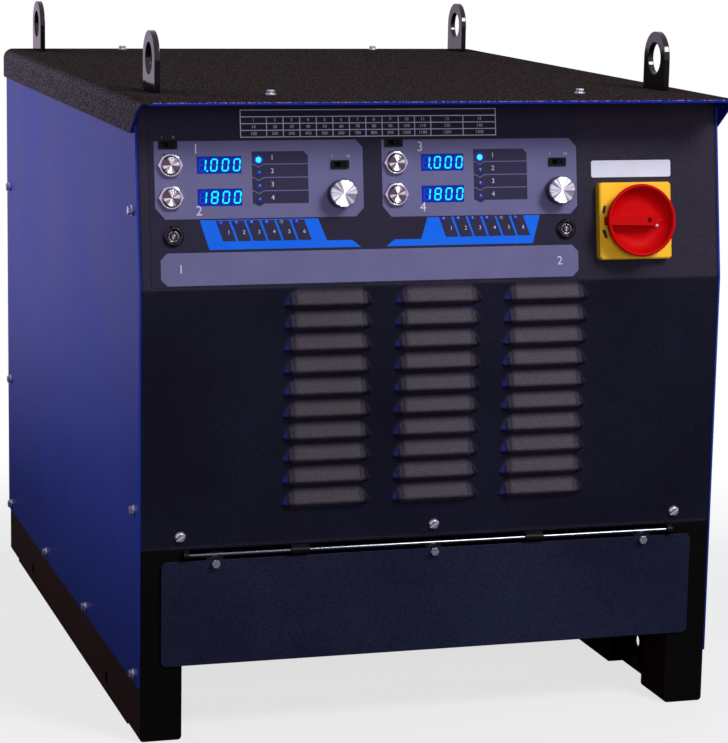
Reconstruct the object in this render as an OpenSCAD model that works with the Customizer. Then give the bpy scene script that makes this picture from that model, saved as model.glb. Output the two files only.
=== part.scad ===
// Two-station drawn-arc stud welding power source.
// Sheet-metal case on a skid base, sloped control panel, louvred front and a
// hinged flap over the output sockets. Millimetres, front faces -Y, +Z is up.

/* [Case] */
// Width over the two side panels
case_w = 640; // [620:1:680]
// Depth from the front face to the rear face
case_d = 840; // [820:1:900]
// Height from the floor to the top of the hood
case_h = 670; // [660:1:700]
// Thickness of the side, front and rear sheets
sheet = 2; // [1.5:0.5:3]
// Gap between two sheets that lie edge to edge
panel_gap = 0.3; // [0.2:0.1:0.6]
// Height of the side panels' lower edge above the floor
skirt_z = 58; // [50:1:62]
// Depth of the folded returns along the panel edges
return_d = 40; // [34:1:46]

/* [Front panel] */
// Height of the front panel's lower edge
front_z = 204; // [200:1:215]
// Height of the sloped control part, from the bend up to the hood's top
slope_h = 194; // [186:1:200]
// Backward slope of the control area, in degrees
front_tilt = 8.4; // [6:0.2:10]
// Depth of the fold along the front panel's lower edge
bottom_fold = 17; // [14:1:20]
// Distance of the three lower screws above the panel's lower edge
front_screw_rise = 14; // [12:1:18]
// Distance of the outer two lower screws from the case's side faces
front_screw_x = 44; // [36:1:70]

/* [Louvres] */
// Number of louvre columns
louvre_cols = 3; // [1:1:3]
// Width of one louvre
louvre_w = 95; // [80:1:100]
// Height of one louvre from its lip to where its slant meets the sheet
louvre_h = 15; // [13:0.5:16]
// How far the lip stands out from the sheet
louvre_out = 7; // [5:0.5:8]
// Radius of the blend between a louvre's slant and the sheet above it
louvre_blend = 14; // [6:1:15]
// How far behind the sheet the ends of a louvre turn: larger is rounder
louvre_turn = 8; // [4:0.5:10]
// Distance between two columns
louvre_pitch_x = 120; // [112:1:130]
// Distance between two rows
louvre_pitch_z = 23.4; // [22:0.2:24]
// Height of the lowest lip above the panel's lower edge
louvre_rise = 43; // [38:1:46]

/* [Hood] */
// Thickness of the hood sheet
hood_sheet = 3; // [2:0.5:4]
// Overhang of the hood in front of the front face
visor = 40; // [30:1:50]
// Overhang of the hood behind the rear face
hood_tail = 2; // [1:1:6]
// Height of the hood's side flanges, measured from the top
hood_flange = 36; // [32:1:44]
// Outer radius of the hood's side bends
hood_bend_r = 12; // [8:1:16]
// Distance of the hood screws from the centre line
hood_screw_x = 171; // [140:1:200]

/* [Skids] */
// Thickness of the skid plate
web = 3; // [3:0.5:4]
// Width of the legs and of the boxed middle rails
leg_w = 44.5; // [40:0.5:50]
// Front-to-back depth of a leg
leg_d = 66; // [60:1:70]
// Radius of the folds at the foot of a leg
leg_r = 4; // [3:0.5:5]
// Width of the bottom flange beside the legs
flange_w = 27; // [22:1:30]
// Depth of the socket bay, also where the middle rails begin
bay_d = 163; // [155:1:175]
// Height of the plate tongue behind the side panel's lower edge
tongue_h = 26; // [22:1:30]
// Diameter of the floor bolt holes in the skids
floor_hole_d = 14; // [10:0.5:16]
// Height of the floor bolt holes above the floor
floor_hole_z = 17.5; // [14:0.5:24]
// Distance of the floor bolt holes from the middle of the skid
floor_hole_y = 241; // [220:1:245]

/* [Lifting eyes] */
// Width of the flat lifting bars
eye_w = 58; // [50:1:60]
// Thickness of the lifting bars
eye_t = 6; // [5:0.5:10]
// Height of the eyes above the hood
eye_rise = 63; // [60:1:80]
// Diameter of the shackle hole
eye_hole_d = 34; // [24:1:36]
// Distance from the side panel face to the middle of a bar
eye_inset = 36; // [32:1:38]
// Distance from the front face to the middle of the front bars
eye_front_y = 112; // [105:1:120]
// Distance from the rear face to the middle of the rear bars
eye_rear_y = 40; // [38:1:60]

/* [Flap] */
// Distance from the case's side faces to the flap's side edges
flap_side = 24; // [20:1:40]
// Height of the flap
flap_h = 112; // [100:1:116]
// Corner radius of the flap
flap_r = 6; // [3:1:10]
// Height of the hinge rod below the front panel's lower edge
rod_drop = 5.4; // [5:0.2:7]
// Diameter of the hinge rod
rod_d = 4; // [3:0.5:6]
// Distance from the hinge rod down to the flap's upper edge
flap_drop = 6.2; // [6:0.2:9]
// Clearance of the hinge rod in its knuckles
rod_clear = 0.08; // [0.05:0.01:0.1]
// Distance of the outer flap screws from the flap's side edges
flap_screw_x = 57; // [46:1:96]
// Place of the left middle knuckle
knuckle_left_x = -148; // [-180:1:-60]
// Place of the right middle knuckle
knuckle_right_x = 113; // [60:1:180]

/* [Control panel] */
// Distance from the case's left face to the printed overlay
overlay_margin = 13; // [8:1:16]
// Gap between the printed overlay and the disconnect's escutcheon
overlay_gap = 20.5; // [10:0.5:24]
// Height of the printed overlay along the slope
overlay_h = 184; // [178:1:186]
// Thickness of the printed overlay
overlay_t = 0.5; // [0.3:0.1:0.8]
// Distance from the overlay's left edge to the first push buttons
station_x = 22.5; // [20:0.5:24]
// Distance from the overlay's middle to the second push buttons
station_mid = 30; // [28:0.5:32]
// Distance from a setting dial to the push buttons of the next station
dial_back = 60.5; // [58:0.5:62]
// Height of the upper push buttons above the bend
upper_row = 127; // [126:0.5:128]
// Height of the lower push buttons above the bend
lower_row = 94; // [93:0.5:95]
// Width of a display window
display_w = 46.6; // [44:0.2:48]
// Height of a display window
display_h = 17.6; // [16:0.2:18]
// Distance from the push buttons to the middle of the displays
display_dx = 51; // [50:0.5:52]
// Diameter of the indicator lenses
lens_d = 5; // [3:0.5:5]
// Distance between two menu indicators
menu_pitch = 13.75; // [13:0.25:14]
// Distance between two status indicators
status_pitch = 16; // [15:0.5:17]

/* [Switches] */
// Diameter of a push button cap
cap_d = 18.5; // [16:0.5:19]
// Travel of a push button
cap_travel = 2; // [1:0.25:2.5]
// Clearance round sliding and turning controls
control_clear = 0.3; // [0.2:0.05:0.4]
// Diameter of a setting dial
dial_d = 29; // [26:0.5:30]
// Height of a setting dial
dial_h = 13.5; // [12:0.5:16]
// Travel of a setting dial when it is pressed
dial_travel = 1; // [0.5:0.25:1.25]
// Diameter of a key lock collar
lock_d = 21; // [20:0.5:23]
// Travel of a slide switch
slide_travel = 6; // [4:0.5:6]

/* [Disconnect] */
// Side of the square escutcheon
escutcheon_w = 82; // [78:1:88]
// Thickness of the escutcheon
escutcheon_t = 11; // [8:1:12]
// Diameter of the disconnect handle
handle_d = 77; // [70:1:80]
// Height of the disconnect handle
handle_h = 18; // [16:1:24]
// Distance from the case's right face to the handle's middle
handle_inset = 101.5; // [98:0.5:106]
// Height of the handle's middle above the bend
handle_s = 62; // [58:1:66]
// Radius of the disconnect shaft
shaft_r = 4; // [3:0.25:4.5]
// Running clearance of shafts
shaft_clear = 0.05; // [0.03:0.01:0.08]

/* [Sockets and inlet] */
// Bore of a weld cable socket
socket_bore = 13; // [10:0.5:14]
// Depth of a weld cable socket's bore
socket_depth = 36; // [30:1:40]
// How far a weld cable socket stands out into the bay
socket_out = 30; // [26:1:36]
// Bore of the supply cable gland
gland_bore = 24; // [18:1:26]
// How far the gland stands out of the rear face
gland_out = 24; // [20:1:30]

/* [Power train] */
// Width of the transformer core
core_w = 300; // [280:1:320]
// Stack depth of the transformer core
core_d = 120; // [100:1:130]
// Height of the transformer core
core_h = 290; // [270:1:310]
// Diameter of the fan blades
fan_d = 250; // [220:1:256]
// Length of the fan motor
motor_len = 45; // [40:1:60]
// Gap between the power train's units, one behind the other
train_gap = 10; // [8:1:14]
// Number of fan blades
fan_blades = 5; // [3:1:7]

/* [Hidden] */
$fn = 64;

// A cut runs this far past the face that it opens
past = 1;

// Paint and material colours
case_blue = [0.10, 0.16, 0.48];
panel_black = [0.10, 0.10, 0.15];
hood_black = [0.16, 0.14, 0.14];
skid_black = [0.12, 0.09, 0.08];
bright_steel = [0.75, 0.76, 0.78];
black_plastic = [0.07, 0.07, 0.08];
copper = [0.72, 0.45, 0.28];
lamination = [0.35, 0.36, 0.38];
board_green = [0.10, 0.35, 0.20];

// The case, worked out from the driving sizes
half_w = case_w / 2;
inner_half = half_w - sheet;
panel_half = inner_half - panel_gap;
roof_z = case_h - hood_sheet;
bend_z = case_h - slope_h;
side_top = case_h - hood_bend_r;
hood_half = half_w + panel_gap + hood_sheet;
pan_z = skirt_z + sheet;
sill_z = front_z + sheet + panel_gap;
sill_t = 3;
sill_d = 60;
sill_h = 34;
rear_in = case_d - sheet;
tail_y = case_d + hood_tail;

// The object is centred between the visor and the gland
mid_y = (case_d + gland_out - visor) / 2;

// Place of the front face at height z
function face_y(z) = max(0, (z - bend_z) * tan(front_tilt));

module place() {
    translate([0, -mid_y, 0]) children();
}

// Local x runs along the panel, y up the slope and z out of its face
module on_slope(x, s) {
    translate([x, 0, bend_z]) rotate([90 - front_tilt, 0, 0]) translate([0, s, 0]) children();
}

// Extrudes a (Y, Z) outline along X, centred
module across(w) {
    translate([-w / 2, 0, 0]) rotate([90, 0, 90]) linear_extrude(w) children();
}

// Extrudes an (X, Z) outline along Y from y0 to y1
module along(y0, y1) {
    translate([0, y1, 0]) rotate([90, 0, 0]) linear_extrude(y1 - y0) children();
}

// Rectangle centred on the origin with round corners
module rounded(w, h, r) {
    square([w - 2 * r, h], center = true);
    square([w, h - 2 * r], center = true);
    for (x = [-1, 1], y = [-1, 1]) {
        translate([x * (w / 2 - r), y * (h / 2 - r)]) circle(r);
    }
}

// Hexagon washer-head screw, local z out of the sheet
screw_head_d = 11.4;
screw_hex_d = 9.2;
screw_flange_t = 1.4;
screw_head_h = 5;
screw_r = 2.3;
screw_hole_d = 5.4;
screw_len = 11;

module hex_screw() {
    cylinder(d = screw_head_d, h = screw_flange_t);
    cylinder(d = screw_hex_d, h = screw_head_h, $fn = 6);
    translate([0, 0, -screw_len]) cylinder(r = screw_r, h = screw_len + screw_flange_t);
}

// Fasteners of the case: distance up the sides and along the skirt
screw_inset = 22;
skirt_screw_z = skirt_z + 10;
front_side_screws = [front_z + 40, case_h - 115];
rear_side_screws = [front_z + 33, case_h - 178];
skirt_screws = [case_d / 2 - 130, case_d / 2 + 130];
side_screws = concat(
    [for (z = front_side_screws) [face_y(z) + screw_inset, z]],
    [for (z = rear_side_screws) [case_d - screw_inset, z]],
    [for (y = concat([screw_inset], skirt_screws, [case_d - screw_inset])) [y, skirt_screw_z]]
);
hood_screw_front = face_y(roof_z) + screw_inset + sheet;
hood_screw_rear = case_d - screw_inset;
front_screws = [front_screw_x - half_w, 0, half_w - front_screw_x];
front_screw_z = front_z + front_screw_rise;

module side_screw_holes() {
    for (p = side_screws) {
        translate([0, p[0], p[1]]) rotate([0, 90, 0])
            cylinder(d = screw_hole_d, h = case_w + 2 * past, center = true);
    }
}

module hood_screw_holes() {
    for (x = [-1, 1], y = [hood_screw_front, hood_screw_rear]) {
        translate([x * hood_screw_x, y, roof_z - sheet - past])
            cylinder(d = screw_hole_d, h = case_h - roof_z + sheet + 2 * past);
    }
}

// Skid weldment of the right side: plate, legs and boxed middle rail
module leg_outline(h) {
    translate([0, leg_r]) square([leg_w, h - leg_r]);
    translate([leg_r, 0]) square([leg_w - 2 * leg_r, leg_r + past]);
    for (x = [leg_r, leg_w - leg_r]) translate([x, leg_r]) circle(leg_r);
}

module leg(h, y0, y1, wall_y) {
    difference() {
        along(y0, y1) translate([inner_half - leg_w, 0]) leg_outline(h);
        translate([inner_half - leg_w + web, wall_y, web])
            cube([leg_w - 2 * web, y1 - y0, h]);
    }
}

module skid() {
    rail_x = inner_half - leg_w;
    rail_y = case_d - 2 * bay_d;
    difference() {
        union() {
            leg(sill_z, 0, leg_d, web);
            leg(skirt_z, case_d - leg_d, case_d, case_d - 2 * leg_d - web + leg_d);
            translate([inner_half - web, leg_r, leg_r])
                cube([web, case_d - 2 * leg_r, skirt_z - leg_r]);
            translate([inner_half - flange_w, leg_d - past, 0])
                cube([flange_w, case_d - 2 * leg_d + 2 * past, web]);
            translate([inner_half - web, leg_d - past, 0])
                cube([web, case_d - 2 * leg_d + 2 * past, skirt_z]);
            translate([inner_half - web, leg_d - past, skirt_z - past])
                cube([web, rear_in - panel_gap - leg_d + past, tongue_h + past]);
            difference() {
                translate([rail_x, bay_d, 0]) cube([leg_w, rail_y, skirt_z]);
                translate([rail_x + web, bay_d - past, web])
                    cube([leg_w - 2 * web, rail_y + 2 * past, skirt_z - 2 * web]);
            }
        }
        // the front panel's lower fold lies over the front of the leg
        translate([0, -past, front_z - panel_gap])
            cube([half_w, bottom_fold + panel_gap + past, sill_z]);
        for (y = [-1, 1]) {
            translate([inner_half + past, case_d / 2 + y * floor_hole_y, floor_hole_z])
                rotate([0, -90, 0]) cylinder(d = floor_hole_d, h = web + 2 * past);
        }
        side_screw_holes();
    }
}

module left_skid() {
    color(skid_black) place() mirror([1, 0, 0]) skid();
}

module right_skid() {
    color(skid_black) place() skid();
}

// Floor pan on the rails, with ears beside the socket bay for the front lifting bars
module floor_pan() {
    ear_x = inner_half - leg_w + web;
    pan_half = inner_half - web - panel_gap;
    color(skid_black) place() {
        translate([-pan_half, bay_d, skirt_z])
            cube([2 * pan_half, rear_in - panel_gap - bay_d, sheet]);
        for (side = [0, 1]) mirror([side, 0, 0]) {
            translate([ear_x, leg_d + panel_gap, skirt_z])
                cube([pan_half - ear_x, bay_d - leg_d, sheet]);
        }
    }
}

// Folded cross member behind the front panel's lower edge
module front_sill() {
    sill_half = panel_half - sheet - panel_gap;
    color(skid_black) place() difference() {
        across(2 * sill_half) polygon([
            [sheet, sill_z], [sill_d, sill_z], [sill_d, sill_z + sill_t],
            [sheet + sill_t, sill_z + sill_t], [sheet + sill_t, sill_z + sill_h], [sheet, sill_z + sill_h]
        ]);
        for (x = front_screws) {
            translate([x, 0, front_screw_z]) rotate([-90, 0, 0])
                cylinder(d = screw_hole_d, h = sheet + sill_t + past);
        }
        side_screw_holes();
    }
}

// Flat lifting bar from the floor pan through the hood, with a shackle eye
module lifting_bar(x, y) {
    eye_z = case_h + eye_rise - eye_w / 2;
    place() translate([x - eye_t / 2, y, 0]) rotate([90, 0, 90]) linear_extrude(eye_t) difference() {
        union() {
            translate([-eye_w / 2, pan_z]) square([eye_w, eye_z - pan_z]);
            translate([0, eye_z]) circle(d = eye_w);
        }
        translate([0, eye_z]) circle(d = eye_hole_d);
    }
}

eye_x = half_w - eye_inset;
eye_y = [eye_front_y, case_d - eye_rear_y];
bar_gap = 1.5;

// Slots for the bars in the hood and in the folds below it
module bar_slots() {
    for (x = [-eye_x, eye_x], y = eye_y) {
        translate([x, y, roof_z]) linear_extrude(4 * (hood_sheet + sheet), center = true)
            square([eye_t + 2 * bar_gap, eye_w + 2 * bar_gap], center = true);
    }
}

module lifting_bar_front_left() {
    color(bright_steel) lifting_bar(-eye_x, eye_y[0]);
}

module lifting_bar_front_right() {
    color(bright_steel) lifting_bar(eye_x, eye_y[0]);
}

module lifting_bar_rear_left() {
    color(bright_steel) lifting_bar(-eye_x, eye_y[1]);
}

module lifting_bar_rear_right() {
    color(bright_steel) lifting_bar(eye_x, eye_y[1]);
}

// Side sheet whose front edge follows the front panel's bend
module side_sheet() {
    difference() {
        translate([inner_half, 0, 0]) rotate([90, 0, 90]) linear_extrude(sheet) polygon([
            [0, skirt_z], [0, bend_z], [face_y(side_top), side_top], [case_d, side_top], [case_d, skirt_z]
        ]);
        side_screw_holes();
    }
}

module left_side_panel() {
    color(case_blue) place() mirror([1, 0, 0]) side_sheet();
}

module right_side_panel() {
    color(case_blue) place() side_sheet();
}

// Louvres pressed out of a sheet: a slanted face with an upright lip, blended into the
// sheet along its top, and ends that turn round into the sheet
louvre_t = 1.5;
louvre_lip = 0.8;
louvre_slit = 0.5;
louvre_slant = atan(louvre_out / (louvre_h - louvre_lip));
louvre_top = louvre_h + louvre_blend * tan(louvre_slant / 2);
louvre_end = sqrt(pow(louvre_turn + louvre_out, 2) - pow(louvre_turn, 2));
louvre_len = louvre_w - 2 * louvre_end;
louvre_z = front_z + louvre_rise;
louvre_rows = 1 + floor((bend_z - louvre_top - louvre_z) / louvre_pitch_z);

// Outline of the form in (out, up), t inside its face, from the depth back in the sheet
module louvre_side(t, back, low) {
    reach = louvre_out - t;
    lip = louvre_h - (reach + t / cos(louvre_slant)) / tan(louvre_slant);
    far = louvre_blend + t;
    difference() {
        polygon([
            [-back, -low], [reach, -low], [reach, lip],
            [louvre_blend - far * cos(louvre_slant), louvre_top - far * sin(louvre_slant)],
            [-t, louvre_top], [-back, louvre_top]
        ]);
        translate([louvre_blend, louvre_top]) circle(far);
    }
}

module louvre_face() {
    across(louvre_len) mirror([1, 0]) louvre_side(0, sheet / 2, 0);
    intersection() {
        for (side = [-1, 1]) translate([side * louvre_len / 2, louvre_turn, 0]) rotate([0, 0, 180])
            rotate_extrude(angle = 180) translate([louvre_turn, 0]) louvre_side(0, sheet / 2, 0);
        translate([-louvre_w, -2 * louvre_out, -past])
            cube([2 * louvre_w, 2 * louvre_out + sheet / 2, louvre_top + 2 * past]);
    }
}

module louvre_air_gap() {
    across(louvre_len + 4 * louvre_t) mirror([1, 0]) louvre_side(louvre_t, sheet + past, louvre_slit);
}

module louvre_field() {
    for (c = [0:louvre_cols - 1], r = [0:louvre_rows - 1]) {
        x = (c - (louvre_cols - 1) / 2) * louvre_pitch_x;
        translate([x, 0, louvre_z + r * louvre_pitch_z]) children();
    }
}

// Adds the louvres to a sheet whose outer face lies in Y = 0 and faces -Y
module louvred() {
    difference() {
        union() {
            children();
            louvre_field() louvre_face();
        }
        louvre_field() louvre_air_gap();
    }
}

// Openings of the control area, drawn on the slope
handle_x = half_w - handle_inset;
overlay_x = -half_w + overlay_margin;
overlay_s = 3;
overlay_w = handle_x - escutcheon_w / 2 - overlay_gap - overlay_x;
stations = [overlay_x + station_x, overlay_x + overlay_w / 2 + station_mid];
station_pitch = stations[1] - stations[0];
button_rows = [upper_row, lower_row];
dial_dx = station_pitch - dial_back;
mode_slide = [-2, upper_row + 21];
step_slide = [dial_dx, upper_row - 1];
dial_at = [dial_dx, lower_row + 1.5];
menu_at = [display_dx + 41.6, upper_row + 4.8];
menu_count = 4;
status_at = [display_dx - 0.2, lower_row - 26.5];
status_count = 6;
lock_s = lower_row - 39;
lock_edge = 14.4;
lock_x = [stations[0] + 1.5, overlay_x + overlay_w - lock_edge];
button_barrel_d = 22;
lock_barrel_d = 18;
bushing_d = 9.5;
slide_w = 19.5;
slide_h = 9;
slide_body_w = 17;
slide_body_h = 7;
hole_clear = 0.2;
shaft_hole_d = 24;

module lens_places() {
    for (x = stations) {
        for (i = [0:menu_count - 1]) {
            translate([x + menu_at[0], menu_at[1] - i * menu_pitch]) children();
        }
        for (i = [0:status_count - 1]) {
            translate([x + status_at[0] + i * status_pitch, status_at[1]]) children();
        }
    }
}

module control_openings() {
    for (x = stations) {
        for (s = button_rows) {
            translate([x, s]) circle(d = button_barrel_d + 2 * hole_clear);
            translate([x + display_dx, s])
                square([display_w + 2 * hole_clear, display_h + 2 * hole_clear], center = true);
        }
        for (p = [mode_slide, step_slide]) {
            translate([x + p[0], p[1]])
                square([slide_body_w + 2 * hole_clear, slide_body_h + 2 * hole_clear], center = true);
        }
        translate([x + dial_at[0], dial_at[1]]) circle(d = bushing_d + 2 * hole_clear);
    }
    for (x = lock_x) translate([x, lock_s]) circle(d = lock_barrel_d + 2 * hole_clear);
    lens_places() circle(d = lens_d + 2 * hole_clear);
}

// Rounds a sheet's upper corners so that it clears the hood's bends
module under_hood() {
    intersection() {
        children();
        along(-past, hood_screw_front + return_d) arch(panel_half, roof_z, hood_bend_r - hood_sheet, 0);
    }
}

// Folded front panel: upright louvred part, sloped control part, returns
module front_sheet() {
    slope_in = sheet / cos(front_tilt);
    under_z = roof_z - sheet;
    top_end = hood_screw_front + 16;
    across(2 * panel_half) polygon([
        [bottom_fold, front_z], [0, front_z], [0, bend_z], [face_y(roof_z), roof_z],
        [top_end, roof_z], [top_end, under_z], [face_y(under_z) + slope_in, under_z],
        [sheet, bend_z - sheet * tan(front_tilt / 2)],
        [sheet, front_z + sheet], [bottom_fold, front_z + sheet]
    ]);
    for (side = [0, 1]) mirror([side, 0, 0]) {
        translate([panel_half - sheet, 0, 0]) rotate([90, 0, 90]) linear_extrude(sheet) polygon([
            [sheet / 2, sill_z + panel_gap], [sheet / 2, bend_z],
            [face_y(under_z) + sheet / 2, under_z + sheet / 2],
            [face_y(under_z) + return_d, under_z + sheet / 2],
            [return_d, bend_z], [return_d, sill_z + panel_gap]
        ]);
    }
}

module front_panel() {
    color(panel_black) place() difference() {
        louvred() under_hood() front_sheet();
        on_slope(0, 0) translate([0, 0, -sheet - past]) linear_extrude(sheet + 2 * past) {
            control_openings();
            translate([handle_x, handle_s]) circle(d = shaft_hole_d);
        }
        for (x = front_screws) {
            translate([x, -past, front_screw_z]) rotate([-90, 0, 0])
                cylinder(d = screw_hole_d, h = sheet + 2 * past);
        }
        side_screw_holes();
        hood_screw_holes();
        bar_slots();
    }
}

// Rear panel with the same louvres and the opening for the gland
gland_side = 105;
gland_x = gland_side - half_w;
gland_z = skirt_z + 72;
gland_thread_d = gland_bore + 8;

module rear_sheet() {
    across(2 * panel_half) polygon([
        [0, skirt_z], [0, roof_z], [return_d, roof_z],
        [return_d, roof_z - sheet], [sheet, roof_z - sheet], [sheet, skirt_z]
    ]);
    for (side = [0, 1]) mirror([side, 0, 0]) {
        translate([panel_half - sheet, sheet / 2, skirt_z + tongue_h + panel_gap])
            cube([sheet, return_d - sheet / 2, side_top - skirt_z - tongue_h - panel_gap]);
    }
}

module rear_panel() {
    color(panel_black) place() difference() {
        translate([0, case_d, 0]) rotate([0, 0, 180]) louvred() under_hood() rear_sheet();
        translate([gland_x, case_d + past, gland_z]) rotate([90, 0, 0])
            cylinder(d = gland_thread_d + 2 * hole_clear, h = sheet + 2 * past);
        side_screw_holes();
        hood_screw_holes();
        bar_slots();
    }
}

// Folded hood with round side bends and a slanted visor
module arch(half, top, r, low) {
    intersection() {
        union() {
            translate([-half, low]) square([2 * half, top - r - low]);
            translate([r - half, low]) square([2 * (half - r), top - low]);
            for (side = [-1, 1]) translate([side * (half - r), top - r]) circle(r);
        }
        translate([-half, low]) square([2 * half, top - low]);
    }
}

module top_cover() {
    low = case_h - hood_flange;
    visor_back = face_y(low) + 8;
    visor_lip = 0.65 * visor;
    color(hood_black) place() difference() {
        along(-visor, tail_y) difference() {
            arch(hood_half, case_h, hood_bend_r, low);
            arch(hood_half - hood_sheet, roof_z, hood_bend_r - hood_sheet, low - past);
        }
        // the flanges are cut back on a slant behind the visor's flat lip
        across(2 * hood_half + 2 * past) polygon([
            [-visor - past, low - past], [visor_back, low - past], [visor_back, low],
            [visor_lip - visor, roof_z], [-visor - past, roof_z]
        ]);
        bar_slots();
        hood_screw_holes();
    }
}

// Slotted washer-head screws along the front panel's lower edge
module front_panel_screws() {
    head_d = 12;
    head_h = 4;
    slot_w = 1.6;
    color(bright_steel) place() for (x = front_screws) {
        translate([x, 0, front_screw_z]) rotate([90, 0, 0]) difference() {
            union() {
                rotate_extrude() polygon([
                    [0, 0], [head_d / 2, 0], [head_d / 2, screw_flange_t], [head_d / 2 - 1, head_h - 1],
                    [head_d / 2 - 2, head_h], [0, head_h]
                ]);
                translate([0, 0, -screw_len]) cylinder(r = screw_r, h = screw_len + past);
            }
            translate([0, 0, head_h]) rotate([0, 0, 35])
                cube([head_d + past, slot_w, head_h], center = true);
        }
    }
}

// All hexagon screws of the side panels and the hood
module case_screws() {
    color(bright_steel) place() {
        for (side = [0, 1]) mirror([side, 0, 0]) {
            for (p = side_screws) translate([half_w, p[0], p[1]]) rotate([0, 90, 0]) hex_screw();
        }
        for (x = [-1, 1], y = [hood_screw_front, hood_screw_rear]) {
            translate([x * hood_screw_x, y, case_h]) hex_screw();
        }
    }
}

// Printed overlay on the sloped part, cut out for every control
module control_overlay() {
    overlay_r = 3;
    color([0.17, 0.16, 0.21]) place() on_slope(0, 0) linear_extrude(overlay_t) difference() {
        translate([overlay_x + overlay_w / 2, overlay_s + overlay_h / 2])
            rounded(overlay_w, overlay_h, overlay_r);
        control_openings();
    }
}

// Display board: circuit board, two four-digit modules and two spacers
display_depth = 12;
board_t = 1.6;

module display_board(x) {
    board_w = display_w + 14;
    board_h = upper_row - lower_row + display_h + 12;
    mid_s = (upper_row + lower_row) / 2;
    place() on_slope(x + display_dx, mid_s) {
        translate([0, 0, -display_depth - board_t]) linear_extrude(board_t)
            square([board_w, board_h], center = true);
        for (s = button_rows) {
            translate([0, s - mid_s, -display_depth - board_t / 2])
                linear_extrude(display_depth + board_t / 2 + overlay_t / 2)
                    square([display_w, display_h], center = true);
        }
        for (side = [-1, 1]) {
            translate([side * (display_w / 2 + 4), 0, -display_depth - board_t / 2])
                cylinder(r = 2.5, h = display_depth + board_t / 2 - sheet);
        }
    }
}

module left_display_board() {
    color([0.08, 0.18, 0.62]) display_board(stations[0]);
}

module right_display_board() {
    color([0.08, 0.18, 0.62]) display_board(stations[1]);
}

// Push buttons: threaded barrel with a hexagon dress nut, and a sprung cap
nut_across = 27;
nut_h = 3.6;
barrel_len = 24;
stem_r = 3;
cap_bore_r = cap_d / 2 + control_clear;

module push_button_bezels() {
    nut_top = overlay_t + nut_h;
    floor_t = 4;
    color(bright_steel) place() for (x = stations, s = button_rows) {
        on_slope(x, s) difference() {
            union() {
                translate([0, 0, -barrel_len]) cylinder(d = button_barrel_d, h = barrel_len + nut_top);
                intersection() {
                    translate([0, 0, overlay_t]) cylinder(d = nut_across, h = nut_h, $fn = 6);
                    rotate_extrude() polygon([
                        [0, 0], [nut_across / 2, 0], [nut_across / 2, nut_top - 1.2],
                        [nut_across / 2 - 2, nut_top], [0, nut_top]
                    ]);
                }
            }
            translate([0, 0, floor_t - barrel_len]) cylinder(r = cap_bore_r, h = barrel_len + nut_top);
            translate([0, 0, -barrel_len - past])
                cylinder(r = stem_r + control_clear, h = floor_t + 2 * past);
        }
    }
}

module button_cap(x, s) {
    cap_top = overlay_t + nut_h + cap_travel + 0.6;
    cap_low = -10;
    edge = 1;
    color(bright_steel) place() on_slope(x, s) rotate_extrude() polygon([
        [0, -barrel_len + past], [stem_r, -barrel_len + past], [stem_r, cap_low], [cap_d / 2, cap_low],
        [cap_d / 2, cap_top - edge], [cap_d / 2 - edge, cap_top], [0, cap_top]
    ]);
}

module left_upper_button() {
    button_cap(stations[0], upper_row);
}

module left_lower_button() {
    button_cap(stations[0], lower_row);
}

module right_upper_button() {
    button_cap(stations[1], upper_row);
}

module right_lower_button() {
    button_cap(stations[1], lower_row);
}

// Key locks: fixed collar and barrel with a turning tubular plug
lock_out = 4;
lock_len = 26;
plug_r = 6;

module key_switch_housings() {
    lip = 1.5;
    top = overlay_t + lock_out;
    color(black_plastic) place() for (x = lock_x) {
        on_slope(x, lock_s) rotate_extrude() polygon([
            [plug_r + shaft_clear, -lock_len], [lock_barrel_d / 2, -lock_len], [lock_barrel_d / 2, overlay_t],
            [lock_d / 2, overlay_t], [lock_d / 2, top - lip], [lock_d / 2 - lip, top], [plug_r + lip, top],
            [plug_r + shaft_clear, top - lip]
        ]);
    }
}

module key_plug(x) {
    groove_in = 2.6;
    groove_out = 4.2;
    groove_d = 6;
    notch_w = 1.8;
    top = overlay_t + lock_out - 2;
    color(bright_steel) place() on_slope(x, lock_s) difference() {
        translate([0, 0, -lock_len - 4]) cylinder(r = plug_r, h = lock_len + 4 + top);
        translate([0, 0, top - groove_d]) difference() {
            cylinder(r = groove_out, h = groove_d + past);
            translate([0, 0, -past]) cylinder(r = groove_in, h = groove_d + 3 * past);
        }
        translate([-notch_w / 2, groove_out - past, top - groove_d]) cube([notch_w, plug_r, groove_d + past]);
    }
}

module left_key_plug() {
    key_plug(lock_x[0]);
}

module right_key_plug() {
    key_plug(lock_x[1]);
}

// Slide switches: moulded frame with a window, and a ribbed slider
slider_w = 6;
slider_h = 4.4;
slide_frame_t = 1.8;
slide_deep = 11;
slide_floor = 6;

module slide_switch_housings() {
    window_w = slider_w + slide_travel + 2 * control_clear;
    window_h = slider_h + 2 * control_clear;
    color(black_plastic) place() for (x = stations, p = [mode_slide, step_slide]) {
        on_slope(x + p[0], p[1]) difference() {
            union() {
                translate([0, 0, overlay_t]) linear_extrude(slide_frame_t) rounded(slide_w, slide_h, 1);
                translate([0, 0, -slide_deep]) linear_extrude(slide_deep + overlay_t + past)
                    square([slide_body_w, slide_body_h], center = true);
            }
            translate([0, 0, -slide_floor]) linear_extrude(slide_deep + slide_frame_t)
                square([window_w, window_h], center = true);
        }
    }
}

module slider(x, p) {
    rib_w = 0.7;
    top = overlay_t + slide_frame_t - 0.4;
    color(black_plastic) place() on_slope(x + p[0] + slide_travel / 2, p[1]) difference() {
        translate([0, 0, control_clear - slide_floor]) linear_extrude(top + slide_floor - control_clear)
            square([slider_w, slider_h], center = true);
        for (i = [-1.5, 0, 1.5]) {
            translate([i - rib_w / 2, -slider_h, top - rib_w]) cube([rib_w, 2 * slider_h, rib_w + past]);
        }
    }
}

module left_mode_slider() {
    slider(stations[0], mode_slide);
}

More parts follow.
